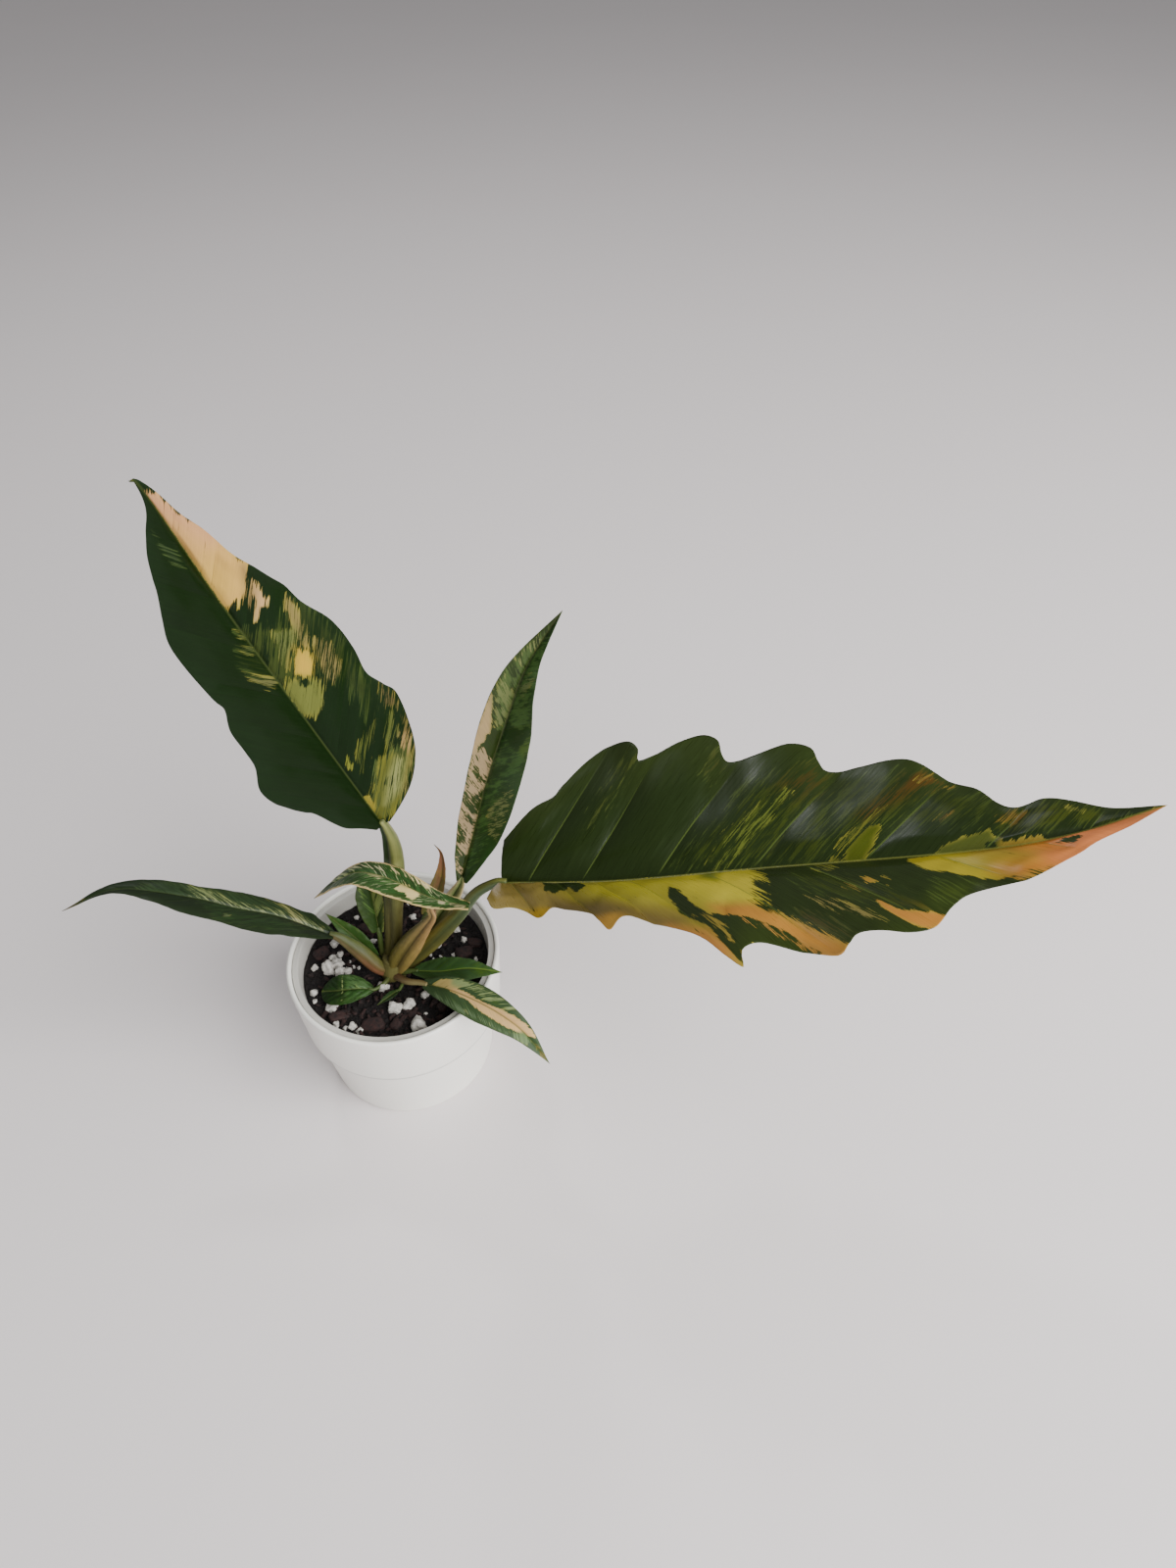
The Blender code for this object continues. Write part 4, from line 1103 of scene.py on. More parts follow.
@dataclass(frozen=True)
class Turned:
    """A wall turned round the upright axis, drawn as knots of radius and height joined by soft bends."""

    knots: tuple
    bend: float
    segments: int = 192
    between: int = 5

    def profile(self) -> np.ndarray:
        """The section's points: each corner becomes a short quadratic curve that cuts it off.

        Returns:
            Radii and heights, n by 2.
        """
        knots = np.array(self.knots, dtype=float)
        points = [knots[:1]]
        t = np.linspace(0.0, 1.0, self.between)[:, None]
        for before, corner, after in zip(knots[:-2], knots[1:-1], knots[2:]):
            enter, leave = (corner + unit(end - corner) * min(self.bend, 0.45 * float(np.linalg.norm(end - corner)))
                            for end in (before, after))
            points.append((1 - t) ** 2 * enter + 2 * t * (1 - t) * corner + t ** 2 * leave)
        return np.vstack(points + [knots[-1:]])

    def build(self, name: str, material: bpy.types.Material) -> bpy.types.Object:
        """The turned wall, closed by a fan of triangles where it meets the axis.

        A point is the section's radius times the cosine and sine of the turn, at its height.

        Args:
            name: the piece's name.
            material: its finish.

        Returns:
            The object.
        """
        section = self.profile()
        turn = np.linspace(0.0, TURN, self.segments, endpoint=False)
        rings = np.stack(np.broadcast_arrays(section[:, :1] * np.cos(turn), section[:, :1] * np.sin(turn),
                                             section[:, 1:]), axis=-1)
        verts = np.vstack([rings.reshape(-1, 3), [[0.0, 0.0, section[0, 1]], [0.0, 0.0, section[-1, 1]]]])
        return put_mesh(name, verts, grid_faces(len(section), self.segments, wrap=True), material,
                        end_fans(len(section), self.segments))


@dataclass(frozen=True)
class Pot:
    """The white outer pot and the grey inner pot that stands in it."""

    height: float = 0.0783
    rim_radius: float = 0.0500
    band_radius: float = 0.0482
    band_bottom: float = 0.0440
    step_radius: float = 0.0458
    base_radius: float = 0.0410
    wall: float = 0.0022
    floor: float = 0.0025
    gap: float = 0.0003
    liner_wall: float = 0.0011
    lip_drop: float = 0.0016
    step_drop: float = 0.0016
    lip_neck: float = 0.0018
    # The white's last number is the height of its painted shade line at the step under the band.
    white: Glaze = Glaze("pot_white_satin", "f3f1e9", 0.34, 0.03, 0.0, 0.0446)
    grey: Glaze = Glaze("liner_grey_plastic", "bdbab2", 0.5, 0.08, 0.5)

    def bend(self) -> float:
        """Height of the bend in the inside of both walls, a little under the band."""
        return self.band_bottom - self.step_drop

    def inner_radius(self, height: float) -> float:
        """Outer radius of the inner pot at a height."""
        clear = self.wall + self.gap
        return float(np.interp(height, [self.floor, self.bend(), self.height - self.lip_drop],
                               [self.base_radius - clear, self.step_radius - clear,
                                self.rim_radius - self.wall - 3 * self.gap - 0.0012]))

    def outer_pot(self) -> Turned:
        """Section of the outer pot: base, tapered foot, soft step, band, round rim, inside, floor.

        Returns:
            The turned wall.
        """
        lip = self.wall / 2
        rim = tuple((self.rim_radius - lip + lip * math.cos(angle), self.height - lip + lip * math.sin(angle))
                    for angle in np.radians(np.linspace(0, 180, 13)))
        return Turned((
            (self.base_radius - 0.004, 0.0006), (self.base_radius - 0.0025, 0.0), (self.base_radius - 0.0010, 0.0),
            (self.base_radius, 0.0012), (self.step_radius, self.band_bottom - 0.0010),
            (self.band_radius, self.band_bottom + 0.0002), *rim,
            (self.band_radius - self.wall, self.band_bottom + 0.0020), (self.step_radius - self.wall, self.bend()),
            (self.base_radius - self.wall, self.floor)), 0.0012)

    def inner_pot(self) -> Turned:
        """Section of the inner pot: floor, tapered wall and a narrow flat lip under the rim.

        Returns:
            The turned wall.
        """
        bottom, top = self.floor + self.gap, self.height - self.lip_drop
        lip = self.rim_radius - self.wall - self.gap
        low, bent, neck = (self.inner_radius(level) for level in (bottom, self.bend(), top - self.lip_neck))
        return Turned((
            (low - 0.001, bottom), (low, bottom + 0.001), (bent, self.bend()), (neck, top - self.lip_neck),
            (lip, top - 0.0012), (lip, top), (lip - 0.0026, top), (neck - self.liner_wall, top - 0.0022),
            (bent - self.liner_wall, self.bend()), (low - self.liner_wall, bottom + self.liner_wall)), 0.0003)

    def build(self) -> None:
        """Makes both pots in place of their CAD nodes."""
        settle(self.outer_pot().build("outer_pot", self.white.make()), "pot_white", "pot_outer")
        settle(self.inner_pot().build("inner_pot", self.grey.make()), "liner_grey", "pot_liner")


@dataclass(frozen=True)
class Lump:
    """One kind of lump: how uneven and how square it is, its seed, and its mesh's rows and columns."""

    rough: float
    square: float
    seed: int
    rows: int
    columns: int

    def scatter(self, name: str, centres: np.ndarray, sizes: np.ndarray, turns: np.ndarray,
                material: bpy.types.Material) -> bpy.types.Object:
        """Many lumps as one mesh.

        A lump is a ball of rows and columns whose coordinates are raised to a power, which
        squares it off, then scaled, turned about the three axes and roughened with noise.

        Args:
            name: the piece's name.
            centres: n by 3.
            sizes: half lengths, n by 3.
            turns: angles about each axis, n by 3.
            material: their finish.

        Returns:
            The object.
        """
        rise = np.linspace(0.0, math.pi, self.rows + 2)[1:-1, None]
        turn = np.linspace(0.0, TURN, self.columns, endpoint=False)[None, :]
        ball = np.stack(np.broadcast_arrays(np.sin(rise) * np.cos(turn), np.sin(rise) * np.sin(turn), np.cos(rise)),
                        axis=-1).reshape(-1, 3)
        ball = np.vstack([ball, [[0.0, 0.0, 1.0], [0.0, 0.0, -1.0]]])
        ball = np.sign(ball) * np.abs(ball) ** self.square
        draw = np.random.default_rng(self.seed)
        phases = draw.uniform(0.0, TURN, (len(centres), 1, 6))
        x, y, z = ball.T
        bumps = (np.sin(3.1 * x + phases[..., 0]) + np.sin(4.3 * y + phases[..., 1])
                 + np.sin(5.2 * z + phases[..., 2]) + 0.6 * np.sin(9.0 * x + 8.0 * y + phases[..., 3]))[..., None]
        jitter = draw.normal(0.0, 0.4, (len(centres), len(ball), 1))
        lumps = ball[None] * (1.0 + self.rough * (bumps * 0.4 + jitter * 0.5)) * sizes[:, None]
        for axis in range(3):
            cosine, sine = np.cos(turns[:, axis])[:, None], np.sin(turns[:, axis])[:, None]
            one, two = (axis + 1) % 3, (axis + 2) % 3
            first = lumps[..., one] * cosine - lumps[..., two] * sine
            second = lumps[..., one] * sine + lumps[..., two] * cosine
            lumps[..., one], lumps[..., two] = first, second
        shift = (np.arange(len(centres)) * len(ball))[:, None, None]
        faces = grid_faces(self.rows, self.columns, wrap=True, flip=True)[None] + shift
        caps = end_fans(self.rows, self.columns, flip=True)[None] + shift
        return put_mesh(name, (lumps + centres[:, None]).reshape(-1, 3), faces.reshape(-1, 4), material,
                        caps.reshape(-1, 3))


@dataclass(frozen=True)
class PottingMix:
    """The dark mix: a lumpy bed with crumbs, bark chunks and perlite grains on it.

    A perlite grain is its two coordinates and its radius in millimetres; a chunk of bark is
    its coordinates, its half length and half width, and its turn in degrees.
    """

    pot: Pot
    level: float = 0.0680
    crumbs: int = 2600
    chips: int = 260
    perlite: tuple = (
        -31.4, 11.6, 1.9, -27.6, 5.3, 1.4, -30.5, 3, 1.8, -31.2, -3.4, 2.9, -27.4, -1, 3.2, -26, -5.8, 2.7,
        -22.4, -5, 2, -22.2, 1, 0.7, -19.9, -1.9, 0.8, -17.5, -2.5, 0.8, -33.4, -0.6, 1.2, -28.8, 1.4, 1.4,
        -29.2, -5.2, 1.4, -38.6, -2, 1.5, -36.5, -16.4, 1.5, -35.3, -21, 1, -26.7, -24.9, 2.2, -24.6, -23.2, 1.3,
        -4.1, -14.4, 2.5, 2.9, -25.9, 2.6, 8.9, -23.3, 2.6, -23.2, -33.3, 1.3, -18.8, -35, 1.2, -15.7, -34.8, 1.6,
        -11.9, -36.9, 1.4, -18.6, -8, 0.6, 19.3, 10, 1.4, 31.5, 13.3, 1.5, 16, -18.2, 1.8, 14.8, -34.6, 2.9,
        17.2, -28.5, 0.8, 4.6, -10.6, 0.7, 27.5, 19.9, 1.8, 27.2, 4.6, 0.9, 38.2, 2, 0.9, 15.9, 4.8, 0.8,
        -6.3, 17.8, 1, -23, 27.8, 1.3, -12.4, 12.7, 1.3, 17.7, 2.3, 0.7, 21.2, 2.8, 0.7, 28.1, 25.1, 0.8,
        -15, 26, 1.5, -4, 31, 1.9, 5, 28, 1.4, 13, 31, 1.7, 2, 36, 1.2,
    )
    chunks: tuple = (
        -37, 6.5, 3.8, 3.2, 40, -21, -28.1, 7, 2.4, 28, -6.5, -33.9, 5.8, 3.6, 8, 4.2, -34, 2.8, 2.6, 60,
        -17.1, 20.5, 5, 2.6, -30, 32.2, 5.8, 4.2, 3.6, 20, 37, 12, 2.6, 3.4, 80, 24.7, -24.1, 2.8, 2.2, 50,
        11.4, -28.5, 2.6, 1.8, 10, -12, 30, 5.5, 3.6, 45, 12, 18, 6.5, 3.2, -20, 30, -14, 3.6, 2.4, 70,
    )
    bed: Crumble = Crumble("mix_bed", "040202", "170d0a", 900.0)
    bark: Crumble = Crumble("bark", "120807", "341c18", 420.0, 0.85, 0.0004)
    white: Crumble = Crumble("perlite_white", "a39e96", "dedad2", 700.0, 0.95, 0.0006)

    def bed_height(self, x: np.ndarray, y: np.ndarray) -> np.ndarray:
        """Height of the bed: nearly flat, with lumps of soft noise at two sizes."""
        dish = 0.0008 * (1.0 - (x ** 2 + y ** 2) / 0.042 ** 2)
        return self.level + dish + 0.0007 * wobble(x, y, 3, 0.012, 4) + 0.0002 * wobble(x, y, 4, 0.0022, 2)

    def on_bed(self, x: np.ndarray, y: np.ndarray, lift: object = 0.0) -> np.ndarray:
        """Points on the bed, or lifted off it."""
        return np.stack([x, y, self.bed_height(x, y) + lift], axis=-1)

    def inside(self, height: float) -> float:
        """Inner radius of the inner pot at a height, less the gap round the mix."""
        return self.pot.inner_radius(height) - (self.pot.gap + self.pot.liner_wall)

    def build_bed(self) -> bpy.types.Object:
        """The bed: rings of points from the middle out, then a tapered wall and a flat bottom.

        Returns:
            The bed's object.
        """
        turn = np.linspace(0.0, TURN, 144, endpoint=False)
        radius = np.linspace(0.02, 1.0, 56)[:, None] * self.inside(self.level)
        top = self.on_bed(radius * np.cos(turn), radius * np.sin(turn))
        low = self.pot.floor + 2 * self.pot.gap + self.pot.liner_wall
        sides = [np.stack([self.inside(level) * np.cos(turn), self.inside(level) * np.sin(turn),
                           np.full_like(turn, level)], axis=-1) for level in (self.pot.bend(), low)]
        middle = [[0.0, 0.0, float(self.bed_height(0.0, 0.0))], [0.0, 0.0, low]]
        rows = len(radius) + len(sides)
        return put_mesh("mix_bed", np.vstack([top.reshape(-1, 3), *sides, middle]),
                        grid_faces(rows, len(turn), wrap=True, flip=True), self.bed.make(),
                        end_fans(rows, len(turn), flip=True))

    def drop(self, draw: np.random.Generator, count: int, reach: float, lift: float) -> np.ndarray:
        """Places spread evenly over the bed, clear of the crown.

        Args:
            draw: where the random numbers come from.
            count: how many.
            reach: the radius they stay within.
            lift: how far they stand off the bed.

        Returns:
            The places, count by 3.
        """
        turn = draw.uniform(0.0, TURN, count)
        radius = reach * np.sqrt(draw.uniform(0.02, 1.0, count))
        return self.on_bed(radius * np.cos(turn), radius * np.sin(turn), lift)

    def build_loose(self, draw: np.random.Generator) -> None:
        """Makes the crumbs and the bark chips, at random.

        Args:
            draw: where the random numbers come from.
        """
        reach = self.inside(self.level) - 0.0012
        small = draw.lognormal(math.log(0.00050), 0.35, (self.crumbs, 1)) * draw.uniform(0.6, 1.4, (self.crumbs, 3))
        places = self.drop(draw, self.crumbs, reach, 0.0002)
        turns = draw.uniform(0.0, TURN, (self.crumbs, 3))
        settle(Lump(0.35, 0.8, 5, 3, 6).scatter("mix_crumbs", places, small, turns, self.bed.make()), "potting_mix")
        long = np.stack([draw.uniform(low, high, self.chips)
                         for low, high in ((0.0010, 0.0030), (0.0005, 0.0013), (0.0003, 0.0008))], axis=-1)
        lie = np.stack([draw.normal(0.0, 0.35, self.chips), draw.normal(0.0, 0.35, self.chips),
                        draw.uniform(0.0, TURN, self.chips)], axis=-1)
        places = self.drop(draw, self.chips, reach - 0.0015, 0.0004)
        settle(Lump(0.3, 0.6, 6, 5, 8).scatter("bark_chips", places, long, lie, self.bark.make()), "potting_mix")

    def build(self) -> None:
        """Makes the bed, the crumbs, the bark and the perlite in place of the CAD mix."""
        draw = np.random.default_rng(SEED)
        settle(self.build_bed(), "potting_mix", "potting_mix")
        self.build_loose(draw)
        x, y, half_length, half_width, turn = in_rows(self.chunks, MM, MM, MM, MM, 1.0).T
        count = len(turn)
        sizes = np.stack([half_length, half_width, np.full(count, 0.0019)], axis=-1)
        lie = np.stack([draw.normal(0.0, 0.15, count), draw.normal(0.0, 0.15, count), np.radians(turn)], axis=-1)
        settle(Lump(0.10, 0.62, 7, 14, 24).scatter("bark_chunks", self.on_bed(x, y, 0.0003), sizes, lie,
                                                   self.bark.make()), "potting_mix")
        x, y, radius = in_rows(self.perlite, MM, MM, MM).T
        sizes = radius[:, None] * draw.uniform(0.85, 1.2, (len(radius), 3))
        turns = draw.uniform(0.0, TURN, (len(radius), 3))
        settle(Lump(0.27, 0.84, 8, 14, 22).scatter("perlite", self.on_bed(x, y, 0.5 * radius), sizes, turns,
                                                   self.white.make()), "potting_mix")


@dataclass(frozen=True)
class Studio:
    """The pale floor, the soft lights and the camera."""

    floor_colour: str = "e6dfde"
    eye: Point = (0.0931, -0.2932, 0.4830)
    pitch: float = 45.05
    roll: float = -0.63
    lens: float = 23.92
    key_power: float = 3.2
    front_power: float = 82.0
    sky: float = 0.30
    target: Point = (0.05, 0.0, 0.08)

    def build_floor(self) -> None:
        """A floor far wider than the view: a flat grid of points at the pot's base."""
        steps = np.linspace(-6.0, 6.0, 25)
        x, y = np.meshgrid(steps, steps)
        made, sheet, shader = new_material("floor_matt")
        place = sheet.node("TexCoord").outputs["Object"]
        cloudy = sheet.shared(mottle(), {"Place": place, "Colour": paint(self.floor_colour), "Size": 3.0,
                                         "Amount": 0.03})
        sheet.feed(shader, {"Base Color": cloudy["Colour"], "Roughness": 0.7})
        verts = np.stack([x, y, np.zeros_like(x)], axis=-1).reshape(-1, 3)
        floor = put_mesh("floor", verts, grid_faces(len(steps), len(steps)), made)

    def add_light(self, name: str, place: Point, size: float, power: float, colour: Colour = (1.0, 1.0, 1.0)) -> None:
        """A square soft light that faces the plant.

        Args:
            name: its name.
            place: where it hangs.
            size: its side in metres.
            power: its power in watts.
            colour: its colour.
        """
        data = bpy.data.lights.new(name, "AREA")
        data.size = size
        data.energy = power
        data.color = colour
        lamp = bpy.data.objects.new(name, data)
        back = unit(np.array(place) - np.array(self.target))
        beside = unit(np.cross((0.0, 1.0, 0.0), back))
        lamp.matrix_world = [(*column, 0.0) for column in (beside, np.cross(back, beside), back)] + [(*place, 1.0)]
        bpy.context.scene.collection.objects.link(lamp)

    def build_camera(self) -> None:
        """The camera at the photograph's place: pitched down, with a slight roll."""
        pitch, roll = math.radians(self.pitch), math.radians(self.roll)
        back = np.array([0.0, -math.cos(pitch), math.sin(pitch)])
        right, above = np.array([1.0, 0.0, 0.0]), np.array([0.0, math.sin(pitch), math.cos(pitch)])
        turned = math.cos(roll) * right + math.sin(roll) * above
        upper = -math.sin(roll) * right + math.cos(roll) * above
        data = bpy.data.cameras.new("camera")
        data.sensor_fit = "AUTO"
        data.sensor_width = 36.0
        data.lens = self.lens
        data.clip_start = 0.01
        camera = bpy.data.objects.new("camera", data)
        camera.matrix_world = [(*turned, 0.0), (*upper, 0.0), (*back, 0.0), (*self.eye, 1.0)]
        bpy.context.scene.collection.objects.link(camera)
        bpy.context.scene.camera = camera

    def build(self) -> None:
        """Makes the floor, the sky, the lights and the camera."""
        self.build_floor()
        world = bpy.data.worlds.new("studio")
        world.use_nodes = True
        back = world.node_tree.nodes["Background"]
        back.inputs[0].default_value = (0.97, 0.98, 1.0, 1.0)
        back.inputs[1].default_value = self.sky
        bpy.context.scene.world = world
        self.add_light("key", (-0.40, 0.80, 1.40), 0.14, self.key_power, (0.97, 0.985, 1.0))
        self.add_light("front", (1.20, -0.86, 1.10), 1.7, self.front_power)
        self.build_camera()


GIANT = Leaf(
    "giant_leaf",
    midrib=(57, -17, 149, 103, -24, 158, 158, -31, 173, 228, -42, 194, 263, -46, 207, 293, -46, 222),
    face=((0.0, -0.05, 1.0), (0.0, 0.0, 1.0)),
    right=Half(fold=(37, 33, 18, 10, 6), droop=1.0, margin=(10, 27, 33, 37, 55, 33.3, 78, 34.3, 107, 39.4,
               117, 30.2, 145, 33.3, 190, 39, 208, 46, 228, 52.8, 238, 43, 262, 42.2, 320, 46.2, 360, 52, 395, 61.5,
               423, 66, 419, 57, 445, 51.5, 500, 52.2, 548, 53.6, 563, 48.5, 580, 43.8, 640, 43, 675, 38.5,
               700, 28.7, 730, 22.5, 800, 20, 860, 11.9, 900, 6.3, 950, 3.8, 1000, 0),
               veins=(0.015, 0.09, 0.155, 0.21, 0.335, 0.49, 0.68), lean=(0.53, 1.38), inner="242f10",
               outer="28330f"),
    left=Half(fold=(26, 24, 17, 10, 6), droop=1.0, margin=(0, 18, 45, 30.8, 79, 36.6, 95, 42.8, 135, 55, 175, 61.7,
              215, 61.8, 235, 57, 235, 51.4, 262, 53.3, 305, 60, 342, 63.6, 366, 60.5, 372, 53.5, 385, 48.7,
              425, 50, 475, 54.6, 510, 53, 521, 46.5, 535, 41.8, 580, 42.2, 645, 43, 680, 40, 720, 32.6, 757, 27.8,
              785, 19, 810, 15.4, 851, 16.6, 890, 13, 940, 5.3, 1000, 0),
              veins=(0.045, 0.135, 0.26, 0.415, 0.585, 0.755), lean=(0.5, 0.9), inner="1d290d", outer="263111"),
    finish=LeafFinish(shift=1.0, roughness=0.3, vein_colour="5a6a30", rib_colour="6d7030", gloss=0.2),
    patches=(
        pale("857a28", -50, 0, 147, 0, 309, 0, 415, 0, 416, 7, 419, 14.6, 430, 23.5, 423, 25.9, 436, 31, 463, 32.7,
             512, 40.2, 551, 47.4, 558, 61.8, 551, 71.1, 480, 76.5, 423, 78.9, 341, 72, 233, 72.2, 213, 71.2,
             111, 53.8, 71, 41.6, -50, 50.2),
        pale("857238", -50, 0, 80, 0, 109, 27.5, 87, 35.9, -50, 50.2, soft=7),
        pale("a0962e", 147, 0, 415, 0, 434, 28.5, 385, 34.2, 305, 20.8, 251, 30.3, 186, 24.7, soft=7),
        pale("b8aa34", 293, 0, 415, 0.6, 429, 26.6, 383, 29.8, 317, 16.5, soft=5),
        pale("66562a", 104, 23, 237, 31.8, 328, 38, 319, 61.2, 216, 73.3, 108, 58, soft=4),
        pale("987810", 84, 33.4, 113, 31.9, 111, 52, 99, 49.4, soft=2),
        pale("9e772c", 199, 42.1, 236, 41, 231, 67.3, 218, 68.8, soft=2),
        pale("a6732e", 367, 31.9, 427, 29.1, 471, 34.7, 512, 40.2, 561, 49.2, 554, 78, 527, 71.6, 492, 50.2,
             459, 44.4, 425, 40.9, 384, 39.1, soft=3),
        pale("a36f34", 309, 45.2, 362, 46.9, 400, 55, 424, 87.1, 423, 90.6, 379, 84.6, 314, 67.6, soft=3),
        dark(75, 3.8, 145, 0.6, 136, 5.1, 153, 11.8, 144, 17, 124, 9.9, 115, 14.4, 110, 20.1, 98, 16.7, 92, 16.7,
             83, 9.9, soft=0.9),
        dark(290, 14.2, 305, 17.4, 324, 24.4, 342, 31.5, 366, 36.5, 390, 37.5, 419, 38.5, 442, 40.5, 465, 42.1,
             484, 45, 502, 47.9, 524, 51.9, 535, 62.4, 479, 76.4, 432, 53, 418, 58.7, 424, 64.7, 413, 61.9,
             397, 56.3, 378, 49.5, 358, 42.9, 336, 37.5, 317, 35.2, 309, 29.4, 292, 23.3, strength=0.92, soft=0.9),
        pale("976e33", 394, 38.4, 445, 40.5, 489, 45.1, 540, 51.7, 556, 52.3, 551, 69.4, 525, 53.2, 494, 50.2,
             452, 45.5, 417, 42.5, strength=0.5, soft=1.2),
        pale("85732d", 344, 33.4, 389, 42.4, 410, 56.2, 398, 52.7, 372, 44.4, 336, 36.6, strength=0.42, soft=1),
        mid("323b13", 328, 0, 360, 2.4, 355, 8.1, 337, 5.4, strength=0.7, soft=2),
        pale("666c22", 328, 0, 361, 0.8, 360, 9, 334, 5.4, soft=2),
        pale("696927", 498, 0.7, 522, 0, 540, 1.6, 547, 4.8, 530, 7.3, 509, 5.7, strength=0.5, soft=1.5),
        pale("79642a", 548, 14, 564, 13.9, 582, 18.8, 588, 23, 575, 21.4, 554, 18.3, strength=0.52, soft=1.5),
        pale("98742c", 577, 12.3, 591, 12.8, 601, 16, 586, 16.6, strength=0.8, soft=1),
        pale("6f6226", 609, 11.6, 624, 17.6, 616, 18.5, 605, 13.8, strength=0.5, soft=1),
        pale("746a3a", 499, 19.2, 525, 23.2, 556, 27.7, 596, 33.2, 614, 38.6, 580, 37.6, 546, 33.8, 519, 29.8,
             496, 24.4, strength=0.46, soft=2),
        mid("3b3616", 490, 28.8, 539, 34.8, 569, 44.1, 563, 48.4, 527, 41.8, 485, 36.2, strength=0.55),
        mid("4b4115", 605, 20.8, 640, 23.3, 672, 28, 691, 32.2, 658, 31.5, 626, 29.6, 601, 25.7, strength=0.6,
            soft=2),
        mid("313b0f", 465, 8.5, 551, 7, 608, 17.6, 660, 23.9, 647, 28.8, 580, 28.4, 510, 21.2, strength=0.46,
            soft=4),
        mid("2f3a0f", 681, 15.9, 753, 17.7, 737, 22.1, 703, 27.7, 674, 25.1, strength=0.6, soft=5),
        pale("a5702e", 596, 25.2, 608, 26.8, 626, 30.7, 652, 31.7, 677, 32, 690, 32.7, 684, 42.3, 677, 37.9,
             668, 40, 654, 39, 641, 37.8, 625, 35.2, 609, 31.1, soft=0.8),
        pale("9b8c24", 643, 2.3, 748, 0, 828, 0, 881, 0, 932, 0.9, 1080, 4, 1080, 4, 888, 11.4, 847, 13.8,
             824, 15.4, 804, 15.9, 786, 17, 766, 17.8, 740, 15.8, 715, 13.9, 690, 12.1, 670, 10.4, 653, 6.5,
             soft=1),
        pale("886d29", 727, 0.3, 815, 0, 825, 4.2, 802, 8.1, 746, 3.9, soft=4),
        pale("a96924", 807, 0.8, 881, 0, 1080, 4, 1080, 4.4, 888, 11.4, 846, 16.5, 790, 18.7, 768, 12.4, 819, 11.4,
             823, 7.3, 805, 3.8, soft=4),
        pale("ba6e3f", 847, 0.4, 932, 0.9, 1080, 4, 1080, 4.4, 888, 11.4, 846, 16.5, 833, 10.2, 860, 7.9, soft=5),
        dark(848, 3.3, 859, 2.4, 879, 1.9, 885, 3.1, 870, 4.9, strength=0.9, soft=0.8),
        mid("434014", 791, 16.7, 816, 15.6, 835, 14.4, 818, 17.6, 796, 19.2, strength=0.7, soft=1),
        mid("313b0f", 293, -3.8, 344, -21, 407, -37.3, 470, -43.9, 520, -47.2, 526, -40.5, 543, -35.9, 539, -0.5,
            strength=0.44, soft=6),
        pale("525b20", 333, -2.4, 373, -16, 437, -29.6, 467, -35.7, 484, -30.9, 450, -18.1, 404, -6.6, 371, -1.3,
             strength=0.4, soft=2),
        mid("363a13", 197, -51.1, 233, -58, 240, -50.7, 212, -44.5, 178, -29.7, 143, -20.8, 159, -38.6,
            strength=0.5, soft=6),
        mid("313011", 339, -44.5, 359, -56.1, 372, -53.5, 375, -46.2, 354, -39.6, strength=0.6, soft=5),
        mid("362e10", 465, -35.8, 514, -45.1, 525, -40, 543, -38.5, 527, -31.8, 481, -30, strength=0.6, soft=5),
        mid("313b11", 543, -35.9, 620, -39.8, 707, -31.3, 773, -22.9, 785, -14.8, 752, -9.2, 669, -9.6, 612, -12.7,
            538, -4.2, strength=0.5, soft=5),
        pale("5d5d1e", 539, -7.3, 584, -16.9, 623, -22.8, 637, -20.8, 606, -15.4, 567, -4.2, 544, -1.6,
             strength=0.44, soft=1.5),
        mid("453210", 652, -35.5, 687, -37.7, 711, -33.2, 718, -30.5, 690, -28.3, 661, -26.5, 622, -22.3, 591, -17,
            584, -18.5, 616, -25, 647, -29.7, strength=0.62, soft=2.5),
        pale("5a451e", 663, -32.9, 694, -35.8, 709, -32.4, 676, -29.8, strength=0.46, soft=1.5),
        pale("61461e", 685, -13.2, 703, -16.7, 727, -18.1, 716, -14.8, 696, -11.7, strength=0.5, soft=1.2),
        pale("5d3e1d", 698, -28.6, 728, -30.6, 723, -28.5, 702, -27.5, strength=0.5, soft=1),
        pale("41490e", 546, 0, 560, -4.7, 578, -9.5, 590, -12.7, 608, -14.4, 611, -12.2, 601, -8.5, 597, -4.8,
             587, -1.6, 575, 0, soft=1.2),
        pale("444816", 525, 0, 535, -2.6, 547, -2.1, 545, 0, strength=0.8, soft=1.2),
        pale("424919", 642, 0, 665, -0.5, 695, -2.8, 723, -4.7, 751, -6.5, 766, -7.4, 768, -4.2, 780, -3.8,
             773, -1.5, 761, 0, soft=0.9),
        mid("3d4512", 785, -14.8, 844, -16.2, 907, -9.8, 949, -1.8, 933, 0, 884, -2.9, 830, -3.3, 776, -3.5,
            766, -8.7, strength=0.52),
        pale("6a6a2d", 874, -12.3, 899, -9.4, 904, -5.5, 877, -7.7, strength=0.44, soft=1.2),
        pale("6e5721", 777, -15.3, 813, -14.6, 837, -10.3, 807, -6.7, 774, -9.8, strength=0.45, soft=1.5),
        pale("7a6625", 767, -0.4, 778, -2, 802, -1.9, 829, -2.1, 856, -1.5, 882, -1.4, 907, -0.4, 933, 0, 971, 0,
             1080, -4, 928, 0, 827, 0, soft=0.9),
        pale("946536", 849, -1.2, 882, -1.4, 907, -0.4, 933, 0, 971, 0, 1080, -4, 928, 0, 866, 0, soft=3),
        mid("211909", 756, -3.1, 771, -2.8, 773, -0.2, 760, 0, soft=1),
        dark(755, -2.6, 770, -2.8, 773, -0.6, 759, 1.3, soft=0.7),
    ),
    sweep=0.1, waves=5.0, wave_height=0.0016, ripple=0.0006, quilt=0.0018, rib=0.0014, rib_width=0.0013,
